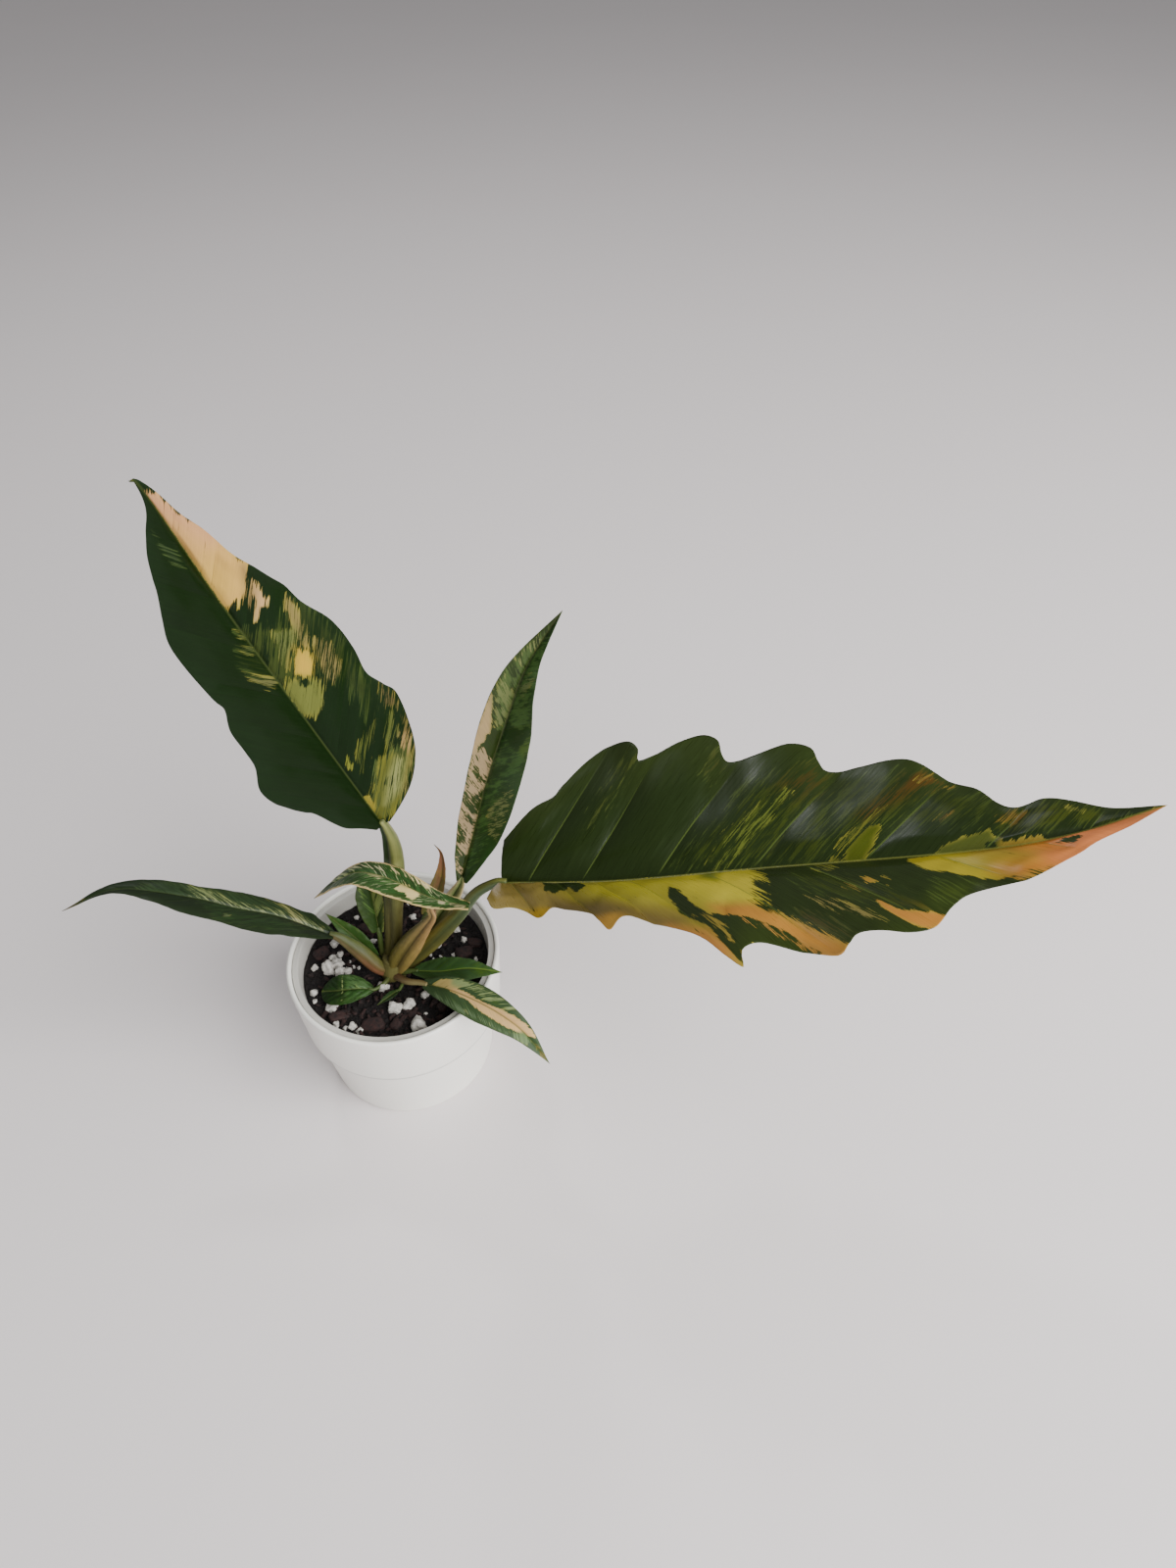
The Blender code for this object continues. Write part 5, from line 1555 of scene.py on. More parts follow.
    vein_show=0.6, rows=300, columns=46,
)

TALL = Leaf(
    "tall_leaf",
    midrib=(9, -4, 172, -9, -9, 233, -21, -18, 285, -28, -32, 336, -30, -36, 343),
    face=((0.15, -0.6, 0.78), (0.15, -0.6, 0.78)),
    right=Half(margin=(0, 3, 40, 13.5, 80, 21.8, 140, 28.3, 220, 31.5, 300, 33.3, 335, 31, 380, 27.9, 450, 28.6,
               540, 27.2, 610, 22, 670, 19.7, 740, 15, 790, 11, 850, 8, 900, 4.6, 950, 2.7, 1000, 0),
               veins=(0.03, 0.12, 0.22, 0.34, 0.47, 0.6, 0.73), lean=(1.43, 0.4), inner="091c04", outer="0e2007"),
    left=Half(margin=(0, 3.5, 40, 8.3, 80, 13.8, 150, 18.8, 170, 21.4, 200, 24.7, 250, 28.2, 300, 28.8, 350, 25,
              390, 24.2, 450, 23.6, 505, 20.4, 550, 21.2, 670, 21.3, 740, 17.8, 800, 14, 860, 10.5, 900, 6.5,
              940, 2.2, 1000, 0), veins=(0.06, 0.17, 0.29, 0.42, 0.56, 0.7), lean=(1.43, 0.4), inner="091a03",
              outer="0c1d07"),
    # The near-black vein colour is painted shade in the vein grooves.
    finish=LeafFinish(shift=12.0, vein_colour="0a1304", rib_colour="333c1a", gloss=0.09),
    patches=(
        pale("b38c50", 1080, 4, 974, 0.9, 952, 2.6, 909, 4.2, 868, 6.8, 827, 11.1, 778, 11.9, 756, 13.7, 727, 10.6,
             702, 9, 686, 6.4, 688, 4.5, 684, 2.6, 673, 0.7, 661, 0, 714, 0, 788, 0.1, 875, 0.9, 959, 0.6,
             soft=1.5),
        pale("bb9749", 788, 0.1, 791, 5, 753, 9.6, 702, 9, 688, 4.5, 673, 0.7, 661, 0, 714, 0, soft=5),
        pale("ab7d5a", 1080, 4, 974, 0.9, 952, 2.6, 909, 4.2, 868, 6.8, 827, 11.1, 827, 8.2, 889, 2.9, 959, 0.6,
             soft=3),
        pale("af8d5f", 714, 12.2, 699, 12.9, 674, 12.9, 656, 13.3, 643, 11.6, 643, 9.8, 627, 7.1, 625, 5.6,
             646, 7.4, 666, 9.5, 688, 9.9, soft=1.5),
        pale("7f6841", 755, 11.9, 721, 12.4, 681, 10.4, 641, 6.3, 669, 6.3, 705, 9.3, strength=0.55, soft=1.4),
        mid("232e0f", 638, 0, 608, 5, 608, 11.6, 641, 24.7, 565, 25.7, 486, 28.4, 385, 27.1, 346, 29.6, 257, 18.8,
            381, 17.9, 428, 14.1, 411, 0.7, strength=0.5, soft=4),
        pale("716538", 645, 19.1, 619, 20.1, 559, 18.8, 509, 15.7, 522, 12.7, 569, 14.6, 617, 15.8, strength=0.55,
             soft=1.2),
        mid("313c15", 608, 6.3, 575, 15.8, 503, 12, 459, 5.2, 477, 1, 552, 1.8, 610, 0.8, strength=0.6, soft=2),
        pale("565d30", 590, 8.2, 569, 15.2, 504, 11.6, 470, 5.9, 502, 3.4, strength=0.47, soft=1.5),
        pale("6c6137", 535, 18.2, 509, 23.1, 421, 22.5, 391, 15.6, 431, 13.4, strength=0.43, soft=1.5),
        pale("ac8d30", 525, 12.3, 506, 14, 474, 14, 448, 11.3, 455, 8.1, 472, 6.6, 503, 8.9, soft=2.0),
        pale("5c612c", 470, 4.2, 440, 10.6, 433, 13.1, 405, 12.3, 370, 10, 360, 7.9, 344, 3.4, 355, 2.4, 369, 0.3,
             401, 0, 428, 1.1, strength=0.8, soft=2.0),
        dark(458, 7, 449, 9.8, 428, 9.2, 429, 6.7, 444, 5.3, soft=1.4),
        pale("50531e", 104, 4.2, 138, 8.9, 172, 14.9, 167, 17.7, 172, 20.4, 150, 21.9, 158, 27.4, 133, 27.8,
             90, 23.2, 59, 18, 27, 10.2, 7, 4.6, 0, 0.8, 3, 0, 37, 0, strength=0.62, soft=3),
        mid("3c4520", 10, 1, 170, 12, 180, 29, 100, 24, 30, 10, strength=0.8, soft=2),
        dark(121, 12.5, 117, 16.1, 91, 14.5, 79, 10.4, 101, 9.2, strength=0.6, soft=1.2),
        pale("8c7448", 213, 25, 206, 31.1, 154, 28.8, 139, 23.5, 168, 22.5, strength=0.52, soft=1.2),
        pale("534829", 348, 29.9, 318, 32.6, 274, 33, 200, 30.9, 199, 27.6, 271, 29.4, 283, 26.3, 311, 26.7,
             strength=0.57, soft=1.2),
        pale("4b5225", 277, 25.9, 271, 29.4, 208, 26.8, 175, 21.2, 171, 17.5, 235, 20.5, strength=0.5, soft=1.5),
        pale("636b25", 231, 4.1, 219, 5.7, 178, 3.5, 190, 1.6, strength=0.7, soft=1.4),
        pale("444b1c", 241, 10.2, 271, 20.1, 273, 23, 229, 16.9, 158, 8, 156, 4.6, 208, 6.4, strength=0.48,
             soft=1.2),
        pale("84792a", 100, 0.4, 95, 3.1, 51, 1.9, 1, 0, 46, 0, strength=0.9, soft=0.8),
        pale("444b26", 636, -1.6, 567, 0, 564, -0.5, 602, -2.9, strength=0.55, soft=1.4),
        pale("3d4523", 599, -4.8, 568, -0.3, 536, -1.3, 563, -4.2, strength=0.5, soft=1.4),
        pale("4f502e", 550, -8.2, 518, -4.4, 455, -0.5, 470, -4.1, 517, -7.5, strength=0.6, soft=1.4),
        mid("1a260a", 686, -1, 575, 0, 452, 0, 484, -4.5, 565, -8.5, strength=0.5, soft=2),
        mid("24311b", 900, -4.7, 864, -3.7, 840, -2.6, 803, -2.9, 825, -5.4, 868, -6.1, strength=0.55, soft=1.2),
        pale("907f4b", 20, 13, 100, 24, 170, 31, 200, 33, 130, 27, 60, 16, strength=0.62, soft=2),
        pale("787b49", 50, 6, 70, 14, 130, 22, 160, 22, 110, 13, strength=0.55, soft=1.5),
    ),
    sweep=0.06, waves=4.0, wave_height=0.0012, ripple=0.0005, quilt=0.0008, rib=0.0012, rib_width=0.001,
    vein_show=0.3, rows=240, columns=36, seed=2,
)

UPRIGHT = Leaf(
    "upright_leaf",
    midrib=(37, 1, 130, 46, -3, 166, 54, -9, 200, 65, -17, 240, 73.5, -25, 269, 86, -33, 297),
    face=((0.15, -0.75, 0.62), (-0.25, -0.75, 0.6)),
    right=Half(fold=(30, 26), margin=(0, 3, 80, 6.6, 200, 11.6, 300, 13.7, 400, 15.2, 500, 15.2, 600, 14.7,
               660, 13.8, 720, 12, 800, 8, 880, 4.2, 1000, 0), veins=(0.05, 0.18, 0.32, 0.46, 0.6, 0.74),
               lean=(1.75, 0.0), inner="1c3a10", outer="244416"),
    left=Half(fold=(30, 26), margin=(0, 2.5, 80, 5, 140, 6.6, 260, 8.2, 400, 8.1, 500, 8.7, 600, 9.3, 700, 8.5,
              790, 6.6, 880, 3.8, 1000, 0), veins=(0.05, 0.18, 0.32, 0.46, 0.6, 0.74), lean=(1.75, 0.0),
              inner="2a3a14", outer="32431a"),
    finish=LeafFinish(shift=23.0, streak=(0.7, 0.32)),
    patches=(
        pale("b2996c", 732, -7.7, 660, -6, 585, -4.4, 583, -5.7, 554, -5.1, 549, -6.8, 514, -7.2, 491, -7.5,
             509, -8.8, 561, -10.6, 620, -9.2, 689, -8.6, soft=0.7),
        pale("a38e6b", 504, -8.7, 551, -5, 465, 0, 398, 0, 243, 0, 119, 0, -50, 0, 46, -3.9, 165, -8.4, 286, -10.1,
             404, -9.6, strength=0.54, soft=1.6),
        mid("4c6230", 596, -3.6, 744, -7.1, 832, -6.3, 944, -1.8, 969, -0.3, 774, 0, 604, 0, strength=0.55, soft=2),
        pale("6d7845", 805, -6.2, 751, -2.4, 704, -0.2, 631, -0.4, 610, -3.3, 694, -6.7, 759, -7, strength=0.54,
             soft=1.2),
        pale("7f864f", 831, -5.1, 879, -3.8, 919, -2.6, 908, -0.9, 854, -1.8, 797, -1.3, strength=0.5, soft=1),
        mid("4c6c24", 377, 3.4, 473, 4.9, 534, 7.6, 604, 9.9, 686, 13, 625, 14.4, 546, 12.6, 497, 9.4, 452, 7.2,
            390, 5.7, strength=0.85, soft=1.2),
        pale("6a7342", 377, 5.6, 491, 12.4, 446, 14.6, 225, 12.3, 239, 6.6, 308, 4.1, strength=0.44, soft=1.2),
        pale("5f6d3f", 743, 0.4, 837, 3.8, 840, 6, 745, 4.9, strength=0.4, soft=1),
        mid("3c5e2a", 646, 1.4, 846, 2.8, 930, 1.4, 816, 7.2, 700, 12.4, strength=0.5, soft=2),
        mid("42622e", 620, 0.3, 660, 9, 800, 8, 950, 2, 950, 0.2, strength=0.62, soft=1.5),
        mid("3a5c26", 50, 0.5, 50, 6, 600, 15, 600, 0.5, strength=0.42, soft=2),
        dark(40, -0.6, 70, -4.2, 120, -4.6, 100, -0.8, strength=0.75, soft=1.2),
        dark(150, -2.4, 170, -7, 220, -7.4, 240, -2.6, strength=0.7, soft=1.2),
        dark(280, -0.6, 290, -4.6, 360, -5, 400, -0.8, strength=0.75, soft=1.4),
        dark(340, -5.6, 360, -8, 400, -8, 410, -6, strength=0.6, soft=1.0),
    ),
    sweep=0.05, wave_height=0.0006, quilt=0.0003, rib=0.001, rib_width=0.0008, vein_show=0.25, rows=180, columns=22,
    seed=3,
)

LEFT = Leaf(
    "left_leaf",
    midrib=(-24, -5, 98, -45, -4, 111, -63, -5, 119, -82, -4.8, 127, -111, -6, 134, -132, -16, 132),
    face=((0.0, 0.1, 0.99), (0.0, 0.18, 0.98)),
    right=Half(fold=(12, 8), margin=(0, 2.3, 60, 5, 100, 6.9, 150, 6.4, 250, 7.6, 360, 8.9, 500, 6.6, 600, 6.7,
               700, 6.2, 800, 4, 900, 1.8, 1000, 0), veins=(0.05, 0.2, 0.35, 0.5, 0.65), lean=(2.1, 0.0),
               inner="17240e", outer="1c2a13"),
    left=Half(fold=(12, 8), margin=(0, 2.7, 60, 6.5, 150, 10.9, 200, 13.1, 260, 15.1, 340, 14.6, 410, 12.8,
              500, 12.9, 570, 11.4, 650, 8.2, 740, 5.4, 850, 2.4, 1000, 0), veins=(0.05, 0.2, 0.35, 0.5, 0.65),
              lean=(2.1, 0.0), inner="17230f", outer="1e2b15"),
    finish=LeafFinish(shift=31.0, streak=(2.0, 0.4), rib_colour="34421f", gloss=0.22),
    patches=(
        mid("28391f", 799, 1.4, 677, 6.3, 538, 6.5, 358, 8.6, 173, 5.8, 26, 2.3, 39, 0, 236, 0, 421, 1.8, 594, 0.5,
            765, 0, strength=0.56, soft=2),
        pale("6c7648", 591, 6.7, 520, 6.5, 448, 5.7, 410, 3.4, 447, 0.3, 509, 1.2, 565, 2.9, strength=0.45,
             soft=1.4),
        pale("8c8a58", 290, 8.1, 227, 5.7, 181, 2.1, 155, 0, 97, 0, 16, 0, 47, 2.3, 128, 3, 172, 5.3, 212, 6.7,
             strength=0.52, soft=1.4),
        pale("66704a", 396, 3.9, 343, 3.4, 316, 0, 359, 0, strength=0.4, soft=0.8),
        pale("8c9264", 149, 3.1, 69, 2.9, 23, 0.9, 82, 0.5, strength=0.5, soft=0.8),
        pale("7a8254", 160, 0.8, 200, 3.4, 420, 3.6, 560, 1.6, 560, 0.3, 300, 0.3, strength=0.4, soft=1),
        mid("243819", 591, -1.5, 382, 0, 196, -2.6, 38, -2.7, 226, -12.8, 432, -12.7, strength=0.45, soft=2),
        pale("5c6846", 415, -6, 387, -6.2, 391, -8.6, 417, -9, strength=0.38, soft=0.8),
        pale("5c4638", 930, -3, 930, 3, 1100, 8, 1100, -8, strength=0.75, soft=4),
    ),
    sweep=0.05, quilt=0.0003, rib=0.001, rib_width=0.0007, vein_show=0.25, rows=150, columns=20, seed=4,
)

FRONT = Leaf(
    "front_leaf",
    midrib=(43, -22, 140, 28, -20, 143, 17, -16, 146, 6, -11, 147, -5, -8, 146, -15, -8, 140, -26, -9, 130),
    face=((0.0, 0.33, 0.94), (-0.1, 0.2, 0.97)),
    right=Half(0.008, widest=0.5, taper=(1.8, 1.1), fold=(6, 2), veins=(0.2, 0.4, 0.6, 0.8), inner="223414",
               outer="38481f", edge=0.9),
    left=Half(0.01, widest=0.5, taper=(1.8, 1.1), fold=(2, -4), veins=(0.2, 0.4, 0.6, 0.8), inner="243a16",
              outer="38481f", edge=1.0),
    finish=LeafFinish(shift=41.0, streak=(1.1, 0.3)),
    patches=(
        pale("8a6450", 950, -4, 950, 4, 1100, 8, 1100, -8, strength=0.8, soft=2),
        mid("2f4e24", -50, -12, -50, 12, 950, 12, 950, -12, strength=0.52, soft=1),
        pale("9ba078", 50, -12, 50, 12, 900, 12, 900, -12, strength=0.2, soft=1),
        pale("c8b886", 240, 3, 260, 12, 520, 12, 500, 4, strength=0.46, soft=1),
        pale("b8b088", 500, 2.4, 500, 6, 800, 5, 800, 1.6, strength=0.42, soft=1),
        pale("cdb87c", 395, -4.6, 375, -0.8, 335, 0.3, 285, 0.8, 270, -2, 280, -6, 310, -6.4, 335, -4.7, 365, -5.1,
             soft=0.7),
        pale("c0b070", 402, -1.5, 379, 1.2, 333, 1.5, 342, -1.7, strength=0.5, soft=0.8),
        pale("a8a070", 629, 1.3, 547, 0.1, 452, -0.5, 508, -2.8, 584, -2.2, strength=0.55, soft=0.7),
        pale("98a06c", 816, 2.2, 757, 4.4, 667, 2.9, 668, -0.4, 725, -2.4, strength=0.6, soft=0.7),
        mid("4a6a38", 753, 0.2, 629, 1.3, 452, 0.9, 299, 0.7, 213, 1.2, 0, 0.6, 40, -3.8, 198, -2.6, 414, -3.6,
            595, -4.4, strength=0.5, soft=1.5),
        pale("b4ac84", 181, 0.4, 141, -0.5, 125, -3, 160, -3.4, strength=0.7, soft=0.5),
        pale("a8a078", 113, 1, 69, 0.7, 12, -1.5, 17, -3.5, 71, -4, 105, -2.5, strength=0.55, soft=0.6),
        pale("bc9c70", 11, 2.7, -50, 3.1, -50, -2.7, -50, -3, soft=0.7),
    ),
    rows=130, columns=20, seed=5,
)

REAR = Leaf(
    "rear_leaf",
    midrib=(-5, 2, 92, -6, 7, 104, -7.8, 13.5, 117, -9.4, 16.8, 123.5),
    face=((0.0, -0.8, 0.6), (0.0, -0.8, 0.6)),
    right=Half(0.0068, widest=0.55, base=0.4, fold=(34, 34), veins=(0.2, 0.5), inner="2a3c1a", outer="56682e",
               edge=0.6, edge_colour="8d9450"),
    left=Half(0.0082, widest=0.55, base=0.4, fold=(34, 34), veins=(0.2, 0.5), inner="283e16", outer="32441c"),
    finish=LeafFinish(shift=53.0),
    patches=(
        pale("7c8a4a", 694, 4.2, 648, 7.8, 398, 6.5, 34, 1, 150, 0, 446, 1.2, strength=0.62, soft=0.8),
        mid("4c6c2c", 729, -6, 724, -4.2, 388, -1.8, 124, -0.6, 304, -3.4, 578, -6.4, strength=0.6, soft=1),
        pale("6f8c44", 705, -6.5, 684, -4.6, 474, -3.2, 556, -5.5, strength=0.5, soft=0.8),
    ),
    seed=6,
)

GREEN = Leaf(
    "green_leaf",
    midrib=(11, -10, 77, 24, -14, 82, 38, -15, 85.5, 53, -17, 85),
    face=((0.0, -0.15, 1.0), (0.0, -0.1, 1.0)),
    right=Half(0.0071, widest=0.6, fold=(14, 8), veins=(0.2, 0.4, 0.6), inner="304a26", outer="3c5430"),
    left=Half(0.0067, widest=0.36, fold=(14, 8), veins=(0.2, 0.4, 0.6), inner="2f4a26", outer="36502a"),
    finish=LeafFinish(shift=61.0, roughness=0.36, grain=1.6, rib_colour="6b8436"),
    patches=(
        mid("3c581a", 701, -3.9, 1080, 0, 780, 4.8, 673, 2.2, strength=0.65),
        mid("2c4c18", 188, -5.5, 654, -3.8, 666, 1.1, 274, -0.6, strength=0.5),
    ),
    seed=7,
)

RIM = Leaf(
    "rim_leaf",
    midrib=(17, -20, 81, 30, -27, 86, 43, -34, 87, 54, -40, 85, 64, -46, 80, 75, -55, 69),
    face=((-0.2, -0.45, 0.9), (0.3, -0.5, 0.8)),
    right=Half(0.0086, base=0.25, fold=(16, 10), veins=(0.1, 0.3, 0.5, 0.7), inner="34482a", outer="3a4c2e"),
    left=Half(0.0076, widest=0.42, base=0.25, fold=(16, 10), veins=(0.1, 0.3, 0.5, 0.7), inner="33472a",
              outer="384a2c"),
    finish=LeafFinish(shift=71.0),
    patches=(
        pale("a8945a", 0, 0, 131, -3.7, 212, -5.1, 294, -6.2, 345, -5.4, 265, -2.2, 199, -0.8, 142, 0, 63, 0,
             strength=0.95, soft=0.5),
        pale("8e8c56", 218, -3.4, 296, -5.8, 413, -4.9, 341, -3.4, 265, -2.2, strength=0.6, soft=0.7),
        pale("c6a26c", 193, -0.2, 266, -1.8, 336, -1.8, 423, -0.9, 519, -1.7, 615, -2.7, 691, -3.3, 765, -3.3,
             833, -2.1, 790, -0.4, 720, 2.1, 636, 3.5, 532, 3.8, 442, 3.3, 359, 1.7, 284, 1.1, 221, 0.6, soft=0.5),
        pale("6f7f50", 390, -4.5, 469, -4.5, 527, -3.5, 485, -1.8, 416, -2.2, strength=0.52, soft=0.7),
        mid("3c5422", 337, -4.2, 595, -4.8, 783, -3.5, 679, -3.1, 485, -1.8, strength=0.5, soft=1.2),
        mid("354c22", 120, 2.5, 390, 3.7, 675, 3.7, 569, 7.7, 312, 7.2, strength=0.45, soft=1.5),
        pale("62764a", 664, 4.2, 720, 2.1, 794, 0, 848, 0, 812, 3.6, 723, 5.4, strength=0.62, soft=0.7),
        pale("5c4c2c", 832, -0.6, 934, -0.8, 1080, 0, 925, 1.1, strength=0.7, soft=1.2),
        mid("56694a", 100, 3, 300, 5, 600, 5, 750, 4, 600, 7.5, 300, 8, 100, 6, strength=0.5, soft=1),
        pale("7a8660", 300, 5.6, 620, 6, 620, 7, 300, 6.8, strength=0.42, soft=0.8),
        pale("7c8a5a", 200, -7, 220, -3, 600, -3, 660, -7, strength=0.46, soft=1),
    ),
    rows=120, columns=18, seed=8,
)

SOIL = Leaf(
    "soil_leaf",
    midrib=(-8, -17, 72.5, -15, -18, 74.5, -24, -19, 74.5, -32, -18, 72.5),
    face=((0.0, -0.2, 1.0), (0.0, -0.2, 1.0)),
    right=Half(0.0075, widest=0.55, base=0.2, taper=(3.0, 0.8), fold=(6, 6), veins=(0.1, 0.3, 0.5), inner="1c3212",
               outer="253c1a"),
    left=Half(0.0075, widest=0.55, base=0.2, taper=(3.0, 0.8), fold=(6, 6), veins=(0.1, 0.3, 0.5), inner="182c0e",
              outer="223c14"),
    finish=LeafFinish(shift=83.0, streak=(0.8, 0.6), grain=1.6),
    patches=(
        mid("2c4a1e", 20, -6, 20, 6, 560, 8, 560, -7, strength=0.62, soft=2),
        mid("435c34", 120, -2, 140, 4, 420, 5, 440, -2, strength=0.6, soft=2),
        pale("5c7442", 180, 0.5, 200, 3, 360, 4, 380, 0.5, strength=0.45, soft=1.4),
        pale("6f8058", 555, -6.5, 555, 7, 585, 7, 585, -6.5, strength=0.6, soft=0.6),
        mid("16280e", 600, -8, 600, 8, 1100, 8, 1100, -8, strength=0.6, soft=1.5),
    ),
    sweep=0.02, quilt=0.0005, rib=0.0005, vein_show=0.3, rows=70, seed=9,
)

TINY = Leaf(
    "tiny_leaf",
    midrib=(4, -17, 72, 0, -22, 73.5, -5, -26, 73),
    face=((0.0, 0.0, 1.0), (0.0, 0.0, 1.0)),
    right=Half(0.002, fold=(15, 15), inner="24381a", outer="24381a"),
    left=Half(0.002, fold=(15, 15), inner="1e3014", outer="1e3014"),
    finish=LeafFinish(shift=91.0),
    sweep=0.02, quilt=0.0, rib=0.0003, rib_width=0.0004, vein_show=0.0, rows=40, columns=8, seed=10,
)

BRACT = Leaf(
    "green_bract",
    midrib=(-8, -2, 77, -15, 1, 85.5, -23, 4.5, 93, -30, 8, 98),
    face=((0.2, -0.6, 0.75), (0.2, -0.6, 0.75)),
    right=Half(0.0042, base=0.45, fold=(18, 14), inner="2a4416", outer="304e1a"),
    left=Half(0.0042, base=0.45, fold=(18, 14), inner="284412", outer="304e16"),
    finish=LeafFinish(shift=97.0, streak=(0.3, 0.5)),
    patches=(
        mid("324e1c", 511, -3.7, 511, 3.7, 1100, 8, 1100, -8, strength=0.7, soft=4),
    ),
    sweep=0.02, quilt=0.0, rib=0.0005, rib_width=0.0005, vein_show=0.0, rows=60, columns=12, seed=11,
)

SHEATH = Leaf(
    "dry_sheath",
    midrib=(18, 2, 103, 25, 5, 118, 28, 7, 128, 28.5, 9.5, 137, 25.5, 10.5, 142.5),
    face=((-0.45, -0.8, 0.3), (-0.45, -0.8, 0.1)),
    right=Half(0.0046, widest=0.28, base=0.45, fold=(22, 34), inner="6e6a38", outer="7c683c"),
    left=Half(0.0046, widest=0.28, base=0.45, fold=(22, 34), inner="666a38", outer="78683c"),
    finish=LeafFinish(shift=103.0, roughness=0.55, streak=(0.1, 0.9)),
    patches=(
        mid("8c6646", 400, -3.4, 400, 3.4, 1100, 8, 1100, -8, strength=0.75, soft=5),
        pale("94604a", 630, -2.4, 630, 2.4, 1200, 8, 1200, -8, strength=0.85, soft=4),
    ),
    sweep=0.02, quilt=0.0, rib=0.0004, rib_width=0.0005, vein_show=0.0, rows=70, columns=12, seed=12,
)

LEAVES = (GIANT, TALL, UPRIGHT, LEFT, FRONT, REAR, GREEN, RIM, SOIL, TINY, BRACT, SHEATH)

CROWN = Petiole(
    "crown",
    points=(0, -5, 56, 0, -5, 68, 0, -4.5, 74, 1, -4, 80),
    radii=(5.5, 6, 6.6, 5),
    stripes=((-180, "3a2c1c", "4a4226"), (-90, "3a2c1c", "5b5630"), (0, "3a2c1c", "5e5a30"),
             (90, "3a2c1c", "5b5630"), (180, "3a2c1c", "4a4226")),
    rings=50, sides=44,
)
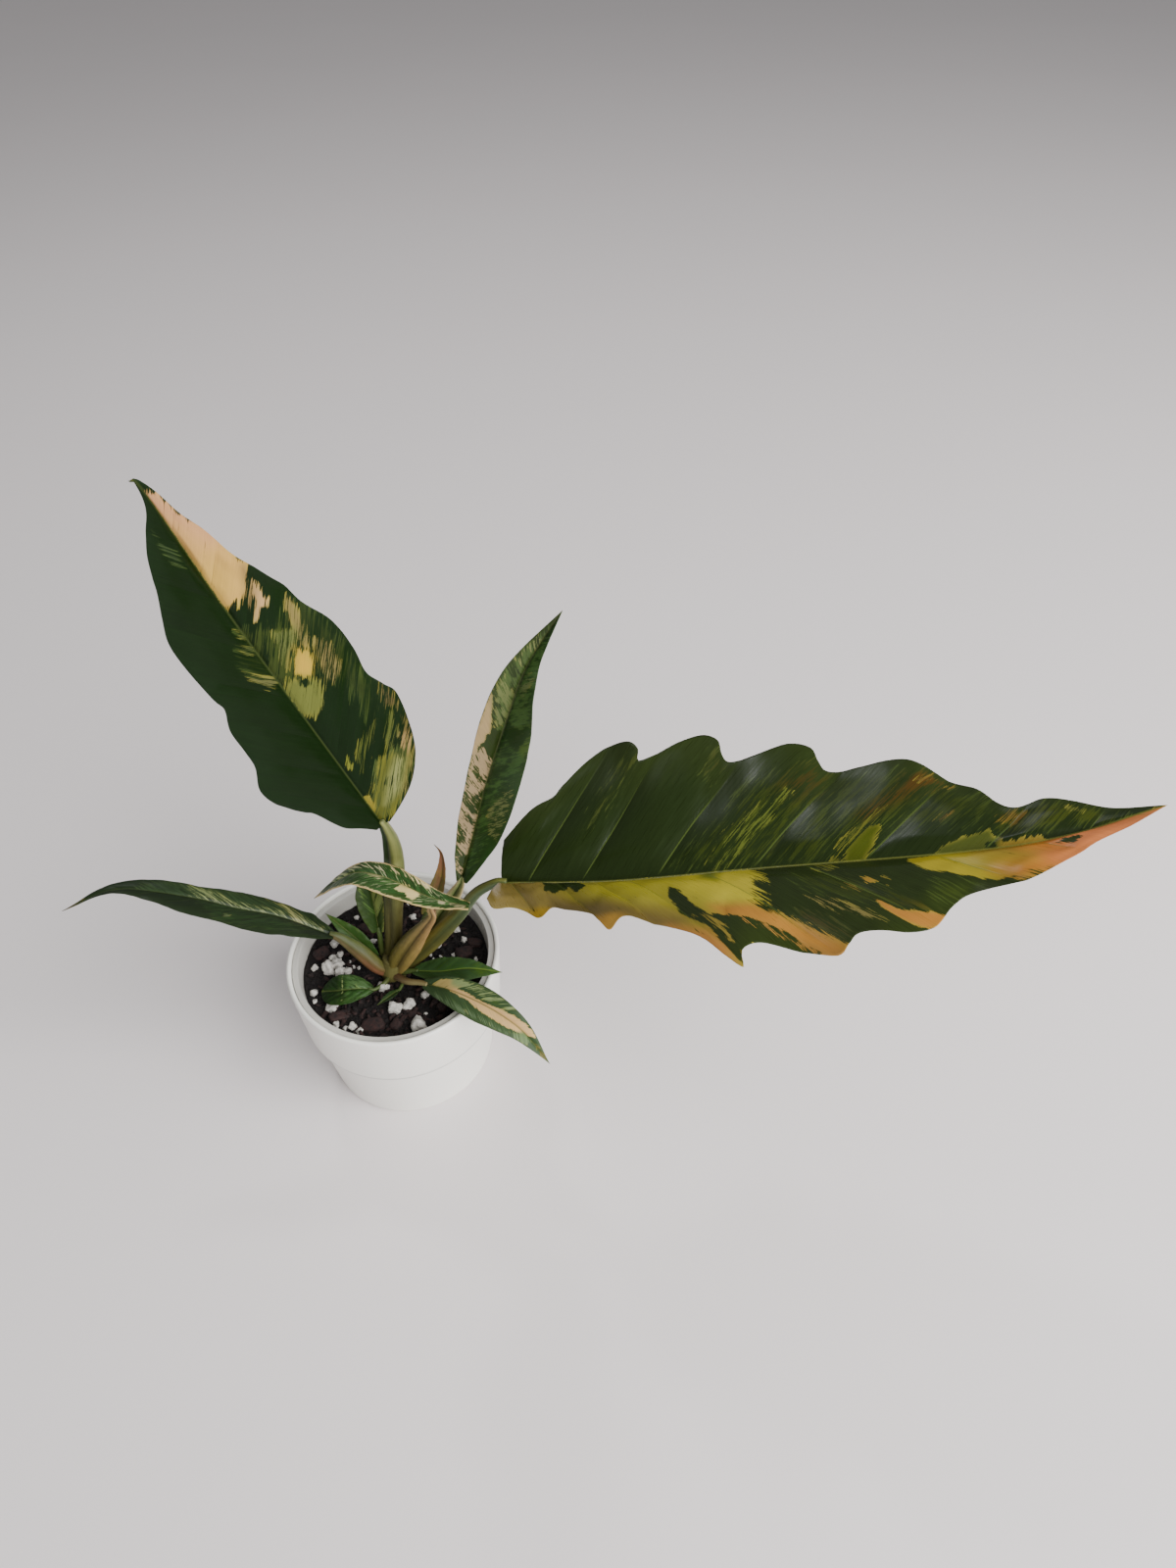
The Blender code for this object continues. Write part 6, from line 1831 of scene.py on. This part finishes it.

# In these stripes the darker colours at the groove and on the shaded side are painted shade, and the paler ones on
# the lit side are partly painted light; the rest is the stalks' own colour.
PETIOLES = (
    Petiole(
        "giant_leaf",
        points=(4, -4, 71, 18, -3, 88, 30, -6, 108, 39, -11, 126, 46, -14.5, 140),
        radii=(3.4, 3.4, 3.3, 3.1, 2.8, 2.3, 1.8),
        stripes=((-150, "3d3b19", "3a4528"), (-120, "474521", "3a4528"), (-90, "686128", "545a28"),
                 (-60, "786e2e", "63642b"), (-30, "514d1e", "4f5a2e"), (0, "3f401e", "3f4f2e"),
                 (30, "545226", "3d4d2e"), (60, "665f2b", "455230"), (90, "474521", "3f4a2b"),
                 (120, "3d3b19", "3a4528")),
        groove=0.15,
        wings=(Wing(70.0, 34.0, 0.0011, (0.05, 0.7)), Wing(-70.0, 34.0, 0.0008, (0.05, 0.55))),
        rings=90, sides=44,
    ),
    Petiole(
        "tall_leaf",
        points=(-1, -3, 72, 2, 1, 92, 5, 3, 115, 9, 1, 142, 10.5, -2, 159),
        radii=(4.2, 4, 4.1, 4.5, 4.2, 3.6, 1.8),
        stripes=((-120, "302c13", "1e2e18"), (-90, "323016", "21321a"), (-60, "44421e", "25391c"),
                 (-30, "5d582e", "1a2913"), (0, "423f1e", "636939"), (30, "555129", "797b46"),
                 (60, "655c34", "51582c"), (90, "4f4622", "7f7f51"), (120, "342e16", "606539"),
                 (150, "302c13", "303d23"), (180, "302c13", "1e2e18")),
        groove=0.3, groove_side=-32.0,
        wings=(Wing(62.0, 30.0, 0.0012, (0.38, 0.97)), Wing(-60.0, 26.0, 0.0006, (0.1, 0.9))),
        rings=90, sides=44,
    ),
    Petiole(
        "upright_leaf",
        points=(5, -3, 72, 17, -1, 92, 28, 2, 110, 33, 3, 119),
        radii=(3, 2.8, 2.8, 2.6, 2.3, 1.3),
        stripes=((-180, "3f3b23", "535134"), (-150, "3f3b23", "867458"), (-120, "3f3b23", "c1a97f"),
                 (-90, "5c5830", "d2b992"), (-60, "675c32", "cbb28a"), (-30, "514d25", "7d8450"),
                 (0, "4a4822", "304d1a"), (30, "555129", "7d8450"), (60, "74633d", "c8ad84"),
                 (90, "675a34", "d3b290"), (120, "3f3b23", "c1977b"), (150, "3f3b23", "867458"),
                 (180, "3f3b23", "535134")),
        groove=0.45,
        wings=(Wing(52.0, 24.0, 0.0021, (0.25, 0.99)), Wing(-48.0, 24.0, 0.0019, (0.3, 0.99))),
        rings=90, sides=44,
    ),
    Petiole(
        "left_leaf",
        points=(-2, -6, 71, -7, -7.5, 77.5, -14, -6, 87),
        radii=(3, 3.4, 3.4, 2.4, 1.5),
        stripes=((-150, "3c3a1e", "303a1e"), (-120, "46401f", "363e20"), (-90, "4a3c20", "3e4424"),
                 (-60, "523824", "454826"), (-30, "623f2a", "4e4828"), (0, "6a4830", "564a2c"),
                 (30, "5a4a2a", "484a26"), (60, "4e4c24", "424a24"), (90, "5c5a2c", "4a5228"),
                 (120, "4c4a22", "445028"), (150, "3c3a1e", "364422")),
        groove=0.18,
        wings=(Wing(100.0, 30.0, 0.0009, (0.2, 0.95)),),
        rings=90, sides=44,
    ),
    Petiole(
        "front_leaf",
        points=(1, -6, 72, 6, -6, 84, 14, -9, 101, 21, -14, 117, 26, -19, 130),
        radii=(4.8, 5.6, 5, 3.6, 2.4, 1.8, 1.4),
        stripes=((-150, "443d20", "5f5331"), (-120, "4e4925", "645b34"), (-90, "5a5627", "6e653b"),
                 (-60, "625b26", "766a3b"), (-30, "675d2c", "806c42"), (0, "3a3316", "42381d"),
                 (30, "82713b", "8c7145"), (60, "8c7440", "96764a"), (90, "4b381d", "5f4027"),
                 (120, "986a47", "c28259"), (150, "875d3b", "b17651"), (180, "443d20", "5f5331")),
        groove=0.4, groove_side=2.0,
        wings=(Wing(62.0, 24.0, 0.001, (0.1, 0.9)), Wing(-55.0, 28.0, 0.0008, (0.05, 0.8))),
        under=0.2, rings=90, sides=44,
    ),
    Petiole(
        "rear_leaf",
        points=(-3, -3, 72, -5, 0, 80),
        radii=(1.8, 1.6, 1.3, 1.1),
        rings=50,
    ),
    Petiole(
        "green_leaf",
        points=(2, -7, 71.5, 5, -8.5, 74),
        radii=(1.8, 1.6, 1.3, 1.1),
        reach=0.003,
    ),
    Petiole(
        "rim_leaf",
        points=(1, -9, 71.8, 8, -15.5, 76.5),
        radii=(1.9, 1.7, 1.4, 1.2),
        stripes=((-180, "4a3022", "5c5234"), (-90, "5e4630", "7a6a44"), (0, "6a5638", "8f8458"),
                 (90, "5e4630", "7a6a44"), (180, "4a3022", "5c5234")),
        rings=50,
    ),
    Petiole(
        "soil_leaf",
        points=(-1, -8, 71.8, -3, -13, 72.2),
        radii=(1.5, 1.2, 0.9, 0.8),
        reach=0.003,
    ),
    Petiole(
        "tiny_leaf",
        points=(1, -9, 71.8, 5, -12.5, 72.2),
        radii=(1.3, 1, 0.8, 0.6),
        reach=0.0025,
    ),
    Petiole(
        "green_bract",
        points=(-3, -4, 72, -5, -3.5, 74),
        radii=(1.8, 1.6, 1.2, 1.1),
        reach=0.002,
    ),
    Petiole(
        "dry_sheath",
        points=(12, -2, 84, 14, 0, 93),
        radii=(2, 1.8, 1.3, 1.1),
    ),
)


def main() -> None:
    """Builds every sub-assembly in order."""
    logging.basicConfig(level=logging.INFO, format="%(name)s: %(message)s")
    pot = Pot()
    pot.build()
    PottingMix(pot).build()
    skin = StemFinish().make("petiole_skin")
    settle(CROWN.build(None, skin), "petiole", "stem_with_petioles")
    carried = {leaf.name: leaf for leaf in LEAVES}
    for petiole in PETIOLES:
        settle(petiole.build(carried[petiole.name], skin), "petiole")
    for leaf in LEAVES:
        leaf.build()
    Studio().build()


if __name__ == "__main__":
    main()
